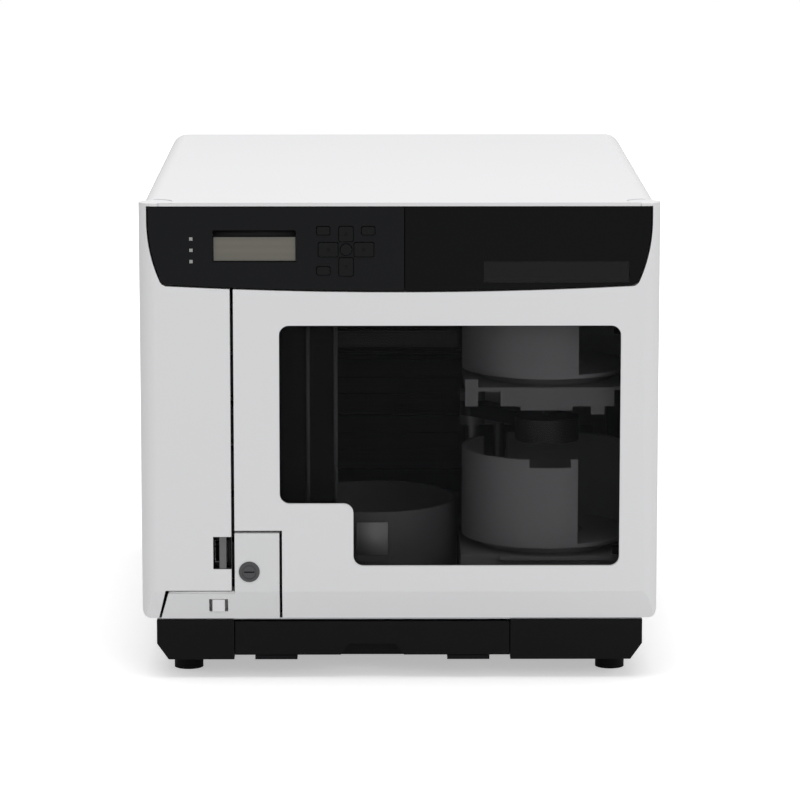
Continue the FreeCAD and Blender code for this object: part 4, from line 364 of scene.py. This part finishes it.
def make(name, mesh, body, slot, material=None):
    """Turn a bmesh into a piece that rides on a body, with a finish of its own or the slot's."""
    data = bpy.data.meshes.new(name)
    bmesh.ops.scale(mesh, vec=(MM, MM, MM), verts=mesh.verts)
    bmesh.ops.recalc_face_normals(mesh, faces=mesh.faces)
    mesh.to_mesh(data)
    mesh.free()
    data.materials.append(material or MATERIALS[slot])
    piece = bpy.data.objects.new(name, data)
    bpy.context.scene.collection.objects.link(piece)
    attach(piece, body)
    return piece


def smooth(piece):
    """Shade a piece as one rolled surface."""
    for face in piece.data.polygons:
        face.use_smooth = True
    return piece


def ring_frame(name, centre, outer, inner, front, back, chamfer, body, slot, facing=-1):
    """A rectangular frame that faces along Y, with its opening chamfered inwards."""
    mesh = bmesh.new()
    rings = []
    for (width, tall), lift, y in ((outer, 0, back), (outer, 0, front), (inner, chamfer, front),
                                   (inner, 0, front - facing * chamfer), (inner, 0, back)):
        half_w, half_t = width / 2 + lift, tall / 2 + lift
        rings.append([mesh.verts.new((centre[0] + sx * half_w, y, centre[1] + sz * half_t))
                      for sx, sz in ((-1, -1), (1, -1), (1, 1), (-1, 1))])
    rings.append(rings[0])
    for one, two in zip(rings, rings[1:]):
        for i in range(4):
            mesh.faces.new((one[i], one[(i + 1) % 4], two[(i + 1) % 4], two[i]))
    return make(name, mesh, body, slot)


def pan_head(name, place, out, radius, rise, body):
    """A low crossed screw head whose flat underside lies at place and which faces out."""
    mesh = bmesh.new()
    steps, turns = 9, 40
    arm_length, arm_width, depth = radius * 0.62, radius * 0.16, rise * 0.8
    rings = []
    for step in range(1, steps + 1):
        reach = radius * step / steps
        ring = []
        for turn in range(turns):
            angle = 2 * math.pi * turn / turns
            x, y = reach * math.cos(angle), reach * math.sin(angle)
            height = rise * math.sqrt(max(0.0, 1 - (reach / radius) ** 4))
            inside = min(abs(x), abs(y)) < arm_width and max(abs(x), abs(y)) < arm_length
            ring.append(mesh.verts.new((x, y, max(0.0, height - (depth if inside else 0)))))
        rings.append(ring)
    middle = mesh.verts.new((0, 0, rise - depth))
    for turn in range(turns):
        mesh.faces.new((middle, rings[0][turn], rings[0][(turn + 1) % turns]))
    for one, two in zip(rings, rings[1:]):
        for turn in range(turns):
            after = (turn + 1) % turns
            mesh.faces.new((one[turn], two[turn], two[after], one[after]))
    facing = Vector(out).to_track_quat("Z", "Y").to_matrix().to_4x4()
    bmesh.ops.transform(mesh, matrix=Matrix.Translation(place) @ facing, verts=mesh.verts)
    return make(name, mesh, body, "bright_steel")


def raised_outline(name, points, y, rise, body, slot, material=None):
    """A thin raised shape on a face that looks towards -Y, with sloping edges."""
    top_share = 0.86
    mesh = bmesh.new()
    middle = sum((Vector(point) for point in points), Vector((0, 0))) / len(points)
    base = [mesh.verts.new((px, y, pz)) for px, pz in points]
    top = []
    for point in points:
        inner = middle + (Vector(point) - middle) * top_share
        top.append(mesh.verts.new((inner[0], y - rise, inner[1])))
    mesh.faces.new(top)
    for i in range(len(points)):
        after = (i + 1) % len(points)
        mesh.faces.new((base[i], base[after], top[after], top[i]))
    return make(name, mesh, body, slot, material)


def block(name, low, high, edge, body, slot, material=None):
    """A block between two corners, with rolled edges."""
    mesh = bmesh.new()
    bmesh.ops.create_cube(mesh, size=1.0)
    size = [b - a for a, b in zip(low, high)]
    middle = [(a + b) / 2 for a, b in zip(low, high)]
    bmesh.ops.scale(mesh, vec=size, verts=mesh.verts)
    bmesh.ops.translate(mesh, vec=middle, verts=mesh.verts)
    bmesh.ops.bevel(mesh, geom=mesh.edges[:], offset=edge, segments=2, affect="EDGES")
    return smooth(make(name, mesh, body, slot, material))


def display_mask():
    """The black frame behind the panel's opening, with a wider black band above the display's
    glass: that band is painted shade, the shadow of the recess's upper wall.
    """
    low, high = corners("control_panel")
    glass_y = low[1] + DISPLAY_RECESS
    tall = DISPLAY_TALL - DISPLAY_SHADE_BAND
    ring_frame("display_mask_side", (DISPLAY_X, DISPLAY_Z - DISPLAY_SHADE_BAND / 2),
               (DISPLAY_WIDTH - 2 * MASK_PLAY, tall),
               (DISPLAY_WIDTH - 2 * MASK_RIM_SIDE, tall - 2 * MASK_RIM_END),
               glass_y - 0.5, glass_y - TOUCH, 0.2, "cabinet", "base_black")
    top = DISPLAY_Z + DISPLAY_TALL / 2
    half_width = DISPLAY_WIDTH / 2 - MASK_PLAY
    # painted shade: a black band where the recess's upper wall shades the glass
    block("display_shade_band", (DISPLAY_X - half_width, glass_y - 0.9, top - DISPLAY_SHADE_BAND - 0.1),
          (DISPLAY_X + half_width, glass_y - TOUCH, top - MASK_PLAY), 0.15, "cabinet",
          "base_black")


def key_arrows():
    """Plain raised arrows on the four keys round the centre key."""
    for number, side in enumerate(("up", "left", "down", "right")):
        low, high = corners(f"{side}_key")
        cx, cz = (low[0] + high[0]) / 2, (low[2] + high[2]) / 2
        angle = number * math.pi / 2
        points = [(cx + px * math.cos(angle) - pz * math.sin(angle),
                   cz + px * math.sin(angle) + pz * math.cos(angle)) for px, pz in ARROW]
        raised_outline(f"{side}_key_arrow", points, low[1] + TOUCH / 2, ARROW_RISE,
                       f"{side}_button", "key_black", MATERIALS["base_black"])


def latch_shade_liner():
    """Dark sheets lining the finger recess, clear of the latch's stem and its travel: painted shade
    in the recess and in the gaps round the latch.
    """
    behind = LINER_BACK - LINER_SHEET
    plates = {
        "left": ((RECESS_LEFT, LINER_FRONT, RECESS_BOTTOM),
                 (RECESS_LEFT + LINER_SHEET, LINER_BACK, RECESS_TOP)),
        "top": ((RECESS_LEFT, LINER_FRONT, RECESS_TOP - LINER_SHEET),
                (RECESS_RIGHT, LINER_BACK, RECESS_TOP)),
        "bottom": ((RECESS_LEFT, LINER_FRONT, RECESS_BOTTOM),
                   (RECESS_RIGHT, LINER_BACK, RECESS_BOTTOM + LINER_SHEET)),
        "back_left": ((RECESS_LEFT, behind, RECESS_BOTTOM), (STEM_LEFT, LINER_BACK, RECESS_TOP)),
        "back_right": ((STEM_RIGHT, behind, RECESS_BOTTOM), (RECESS_RIGHT, LINER_BACK, RECESS_TOP)),
        "back_top": ((STEM_LEFT, behind, STEM_TOP), (STEM_RIGHT, LINER_BACK, RECESS_TOP)),
        "back_bottom": ((STEM_LEFT, behind, RECESS_BOTTOM), (STEM_RIGHT, LINER_BACK, STEM_BOTTOM)),
    }
    for name, (low, high) in plates.items():
        block(f"latch_shade_liner_{name}", low, high, 0.05, "ink_door", "latch_grey", RECESS_SHADE_GREY)


def thumb_pad():
    """A pale pad on the left bin's thumb plate."""
    low, high = corners("stacker_left")
    middle = (low[0] + high[0]) / 2
    block("thumb_pad", (middle - PAD_HALF_WIDTH, low[1] - PAD_THICK, PAD_BOTTOM),
          (middle + PAD_HALF_WIDTH, low[1] + TOUCH, PAD_TOP), 0.15, "cabinet", "bin_plastic",
          PAD_GREY)


def compartment_strips():
    """Two slim upright edge mouldings on the inner frame, left of the drives, whose pale grey is
    partly painted highlight along the frame's edges.
    """
    for name, strip in STRIPS.items():
        (left, right), (front, back) = strip["x"], strip["y"]
        block(f"compartment_strip_{name}", (left, front, STRIP_BOTTOM), (right, back, STRIP_TOP),
              SEEN_EDGE, "cabinet", "bay_grey", STRIP_HIGHLIGHT_GREY)


def seam_lip():
    """A thin lip on the bezel's step, which narrows the seam under the ink cover."""
    # the lip takes the bezel's darker white, which is painted shade
    block("seam_lip", (LIP_LEFT, LIP_FRONT, LIP_BOTTOM), (LIP_RIGHT, LIP_BACK, LIP_TOP), 0.15,
          "cabinet", "shell_white", OWN_MATERIALS["lower_bezel"])


def rear_screws():
    """The heads of the screws that hold the back and the fan."""
    low, high = corners("rear_panel")
    places = [(x, z) for x in (low[0] + SCREW_EDGE, high[0] - SCREW_EDGE)
              for z in (low[2] + SCREW_LOW, (low[2] + high[2]) / 2, high[2] - SCREW_HIGH)]
    places += [(x, z) for x in (-SCREW_MIDDLE_X, SCREW_MIDDLE_X)
               for z in (low[2] + SCREW_MIDDLE_LOW, high[2] - SCREW_EDGE)]
    fan_low, fan_high = corners("fan_frame")
    places += [(x, z) for x in (fan_low[0] + FAN_SCREW_EDGE, fan_high[0] - FAN_SCREW_EDGE)
               for z in (fan_low[2] + FAN_SCREW_EDGE, fan_high[2] - FAN_SCREW_EDGE)]
    for number, (x, z) in enumerate(places):
        pan_head(f"rear_screw_{number}", (x, high[1] - TOUCH / 2, z), (0, 1, 0), SCREW_RADIUS,
                 SCREW_RISE, "cabinet")


def port_shells():
    """The metal shell, dark floor and tongue of each data port."""
    face = corners("rear_panel")[1][1] - PORT_SINK
    for number in range(PORT_COUNT):
        z = PORT_LOW_Z + number * PORT_PITCH
        ring_frame(f"port_shell_{number}", (PORT_X, z), PORT_OUTER, PORT_INNER, face,
                   face - PORT_DEPTH, PORT_CHAMFER, "cabinet", "bright_steel", facing=1)
        for part, sizes in PORT_INSIDES.items():
            (half_wide, half_tall), (root, tip) = sizes["half"], sizes["depths"]
            block(f"port_{part}_{number}", (PORT_X - half_wide, face - root, z - half_tall),
                  (PORT_X + half_wide, face - tip, z + half_tall), PORT_EDGE, "cabinet",
                  "inlet_black")


def inlet_trim():
    """Bright sleeves on the three blades of the mains inlet, the middle one higher."""
    low, high = corners("power_inlet")
    cx, cz = (low[0] + high[0]) / 2, (low[2] + high[2]) / 2
    for step in (-1, 0, 1):
        x = cx + step * BLADE_PITCH
        z = cz + (BLADE_LIFT if step == 0 else -BLADE_LIFT)
        block(f"inlet_blade_{step + 1}",
              (x - BLADE_HALF_WIDTH, high[1] - BLADE_ROOT, z - BLADE_HALF_TALL),
              (x + BLADE_HALF_WIDTH, high[1] - BLADE_TIP, z + BLADE_HALF_TALL), SEEN_EDGE,
              "cabinet", "bright_steel")


def cartridge_bands():
    """A plain coloured band on the front of each ink cartridge."""
    low, high = corners("ink_cartridges")
    pitch = (high[2] - low[2] + CARTRIDGE_SPACE) / len(INKS)
    for number, colour in enumerate(INKS):
        z = low[2] + number * pitch
        block(f"ink_band_{number}", (low[0] + BAND_LEFT, low[1] + BAND_FRONT, z + BAND_BOTTOM),
              (low[0] + BAND_RIGHT, low[1] + BAND_BACK, z + BAND_TOP), 0.2, "cabinet",
              "ink_body", surface(f"ink_band_{number}", colour, 0.4, 1200, 0.1))


def drive_trim():
    """A lamp lens on each drive's bezel."""
    glow = surface("drive_lamp", (0.10, 0.16, 0.10), 0.25, 600, 0.05, edge=0.2)
    for name in ("drive_lower", "drive_upper"):
        low, high = corners(name)
        face = low[1] + DRIVE_FACE
        block(f"{name}_lamp",
              (low[0] + DRIVE_LAMP_LEFT, face - DRIVE_LAMP_OUT, low[2] + DRIVE_LAMP_BOTTOM),
              (low[0] + DRIVE_LAMP_RIGHT, face + DRIVE_LAMP_IN, low[2] + DRIVE_LAMP_TOP),
              SEEN_EDGE, "cabinet", "lamp_clear", glow)


display_mask()
key_arrows()
latch_shade_liner()
thumb_pad()
compartment_strips()
seam_lip()
rear_screws()
port_shells()
inlet_trim()
cartridge_bands()
drive_trim()


# ---------------------------------------------------------------- studio, in metres and watts
AMBIENT = 0.50
FLOOR_HALF = 7.0
FLOOR_GREY = (0.80, 0.80, 0.80)
FLOOR_GLOW = 0.44
SHADOW_REACH, WHITE_REACH = 0.55, 1.2
AIM = (0, 0, 0.2)
OVERHEAD_PLACE, OVERHEAD_SIZE, OVERHEAD_POWER = (0.0, -0.2, 2.6), (2.4, 2.0), 37
FRONT_PLACE, FRONT_SIZE, FRONT_POWER = (1.4, -3.2, 1.6), (1.8, 1.4), 21
CAMERA_FOCAL, PICTURE_WIDTH, SENSOR_WIDTH = 3952, 800, 36.0
CAMERA_PLACE = (-0.017, -3.071, 0.686)
CAMERA_PITCH = 9.60
CAMERA_YAW = 0.35
CAMERA_FAR = 50


def either(tree, *outputs):
    """The highest of several light-path flags."""
    highest = outputs[0]
    for output in outputs[1:]:
        highest = calculate(tree, "MAXIMUM", highest, output)
    return highest


def studio_white(name, colour, near_glow):
    """A matt floor that keeps the shadow near the object and is white to the camera far off."""
    material, tree, principled = new_material(name)
    set_inputs(principled, Base_Color=(*colour, 1), Roughness=0.95, Specular_IOR_Level=0.0)
    rays = add(tree, "ShaderNodeLightPath")
    seen = either(tree, rays.outputs["Is Camera Ray"], rays.outputs["Is Glossy Ray"],
                  rays.outputs["Is Transmission Ray"])
    place = add(tree, "ShaderNodeTexCoord")
    reach = add(tree, "ShaderNodeVectorMath", [(0, place.outputs["Object"])], operation="LENGTH")
    far = add(tree, "ShaderNodeMapRange", [("Value", reach.outputs["Value"])])
    set_inputs(far, From_Min=SHADOW_REACH, From_Max=WHITE_REACH, To_Min=near_glow, To_Max=1.0)
    set_inputs(principled, Emission_Color=(1, 1, 1, 1))
    tree.links.new(calculate(tree, "MULTIPLY", seen, far.outputs["Result"]),
                   principled.inputs["Emission Strength"])
    return material


def floor():
    """A wide flat ground at the part's feet."""
    mesh = bpy.data.meshes.new("floor")
    signs = ((-1, -1), (1, -1), (1, 1), (-1, 1))
    mesh.from_pydata([(sx * FLOOR_HALF, sy * FLOOR_HALF, 0) for sx, sy in signs], [],
                     [(0, 1, 2, 3)])
    ground = bpy.data.objects.new("floor", mesh)
    bpy.context.scene.collection.objects.link(ground)
    mesh.materials.append(studio_white("floor_white", FLOOR_GREY, FLOOR_GLOW))


def world():
    """White to the camera and through glass, and a soft plain light to everything else."""
    scene_world = bpy.data.worlds.new("studio")
    bpy.context.scene.world = scene_world
    scene_world.use_nodes = True
    tree = scene_world.node_tree
    background = tree.nodes["Background"]
    rays = add(tree, "ShaderNodeLightPath")
    seen = either(tree, rays.outputs["Is Camera Ray"], rays.outputs["Is Transmission Ray"])
    level = add(tree, "ShaderNodeMapRange", [("Value", seen)])
    set_inputs(level, To_Min=AMBIENT, To_Max=1.0)
    tree.links.new(level.outputs["Result"], background.inputs["Strength"])
    set_inputs(background, Color=(1, 1, 1, 1))


def softbox(name, place, size, power):
    """A rectangular lamp that looks at the part."""
    lamp = bpy.data.lights.new(name, "AREA")
    lamp.shape = "RECTANGLE"
    lamp.size, lamp.size_y = size
    lamp.energy = power
    holder = bpy.data.objects.new(name, lamp)
    holder.location = place
    holder.rotation_euler = (Vector(AIM) - Vector(place)).to_track_quat("-Z", "Y").to_euler()
    bpy.context.scene.collection.objects.link(holder)


def camera():
    """The photograph's view: a long lens, slightly above, all but square to the front."""
    lens = bpy.data.cameras.new("camera")
    lens.sensor_width = SENSOR_WIDTH
    lens.lens = CAMERA_FOCAL / PICTURE_WIDTH * SENSOR_WIDTH
    lens.clip_end = CAMERA_FAR
    eye = bpy.data.objects.new("camera", lens)
    eye.location = CAMERA_PLACE
    eye.rotation_euler = Euler((math.radians(90 - CAMERA_PITCH), 0, -math.radians(CAMERA_YAW)))
    bpy.context.scene.collection.objects.link(eye)
    bpy.context.scene.camera = eye


floor()
world()
softbox("overhead", OVERHEAD_PLACE, OVERHEAD_SIZE, OVERHEAD_POWER)
softbox("front", FRONT_PLACE, FRONT_SIZE, FRONT_POWER)
camera()
bpy.context.scene.view_settings.view_transform = "Standard"
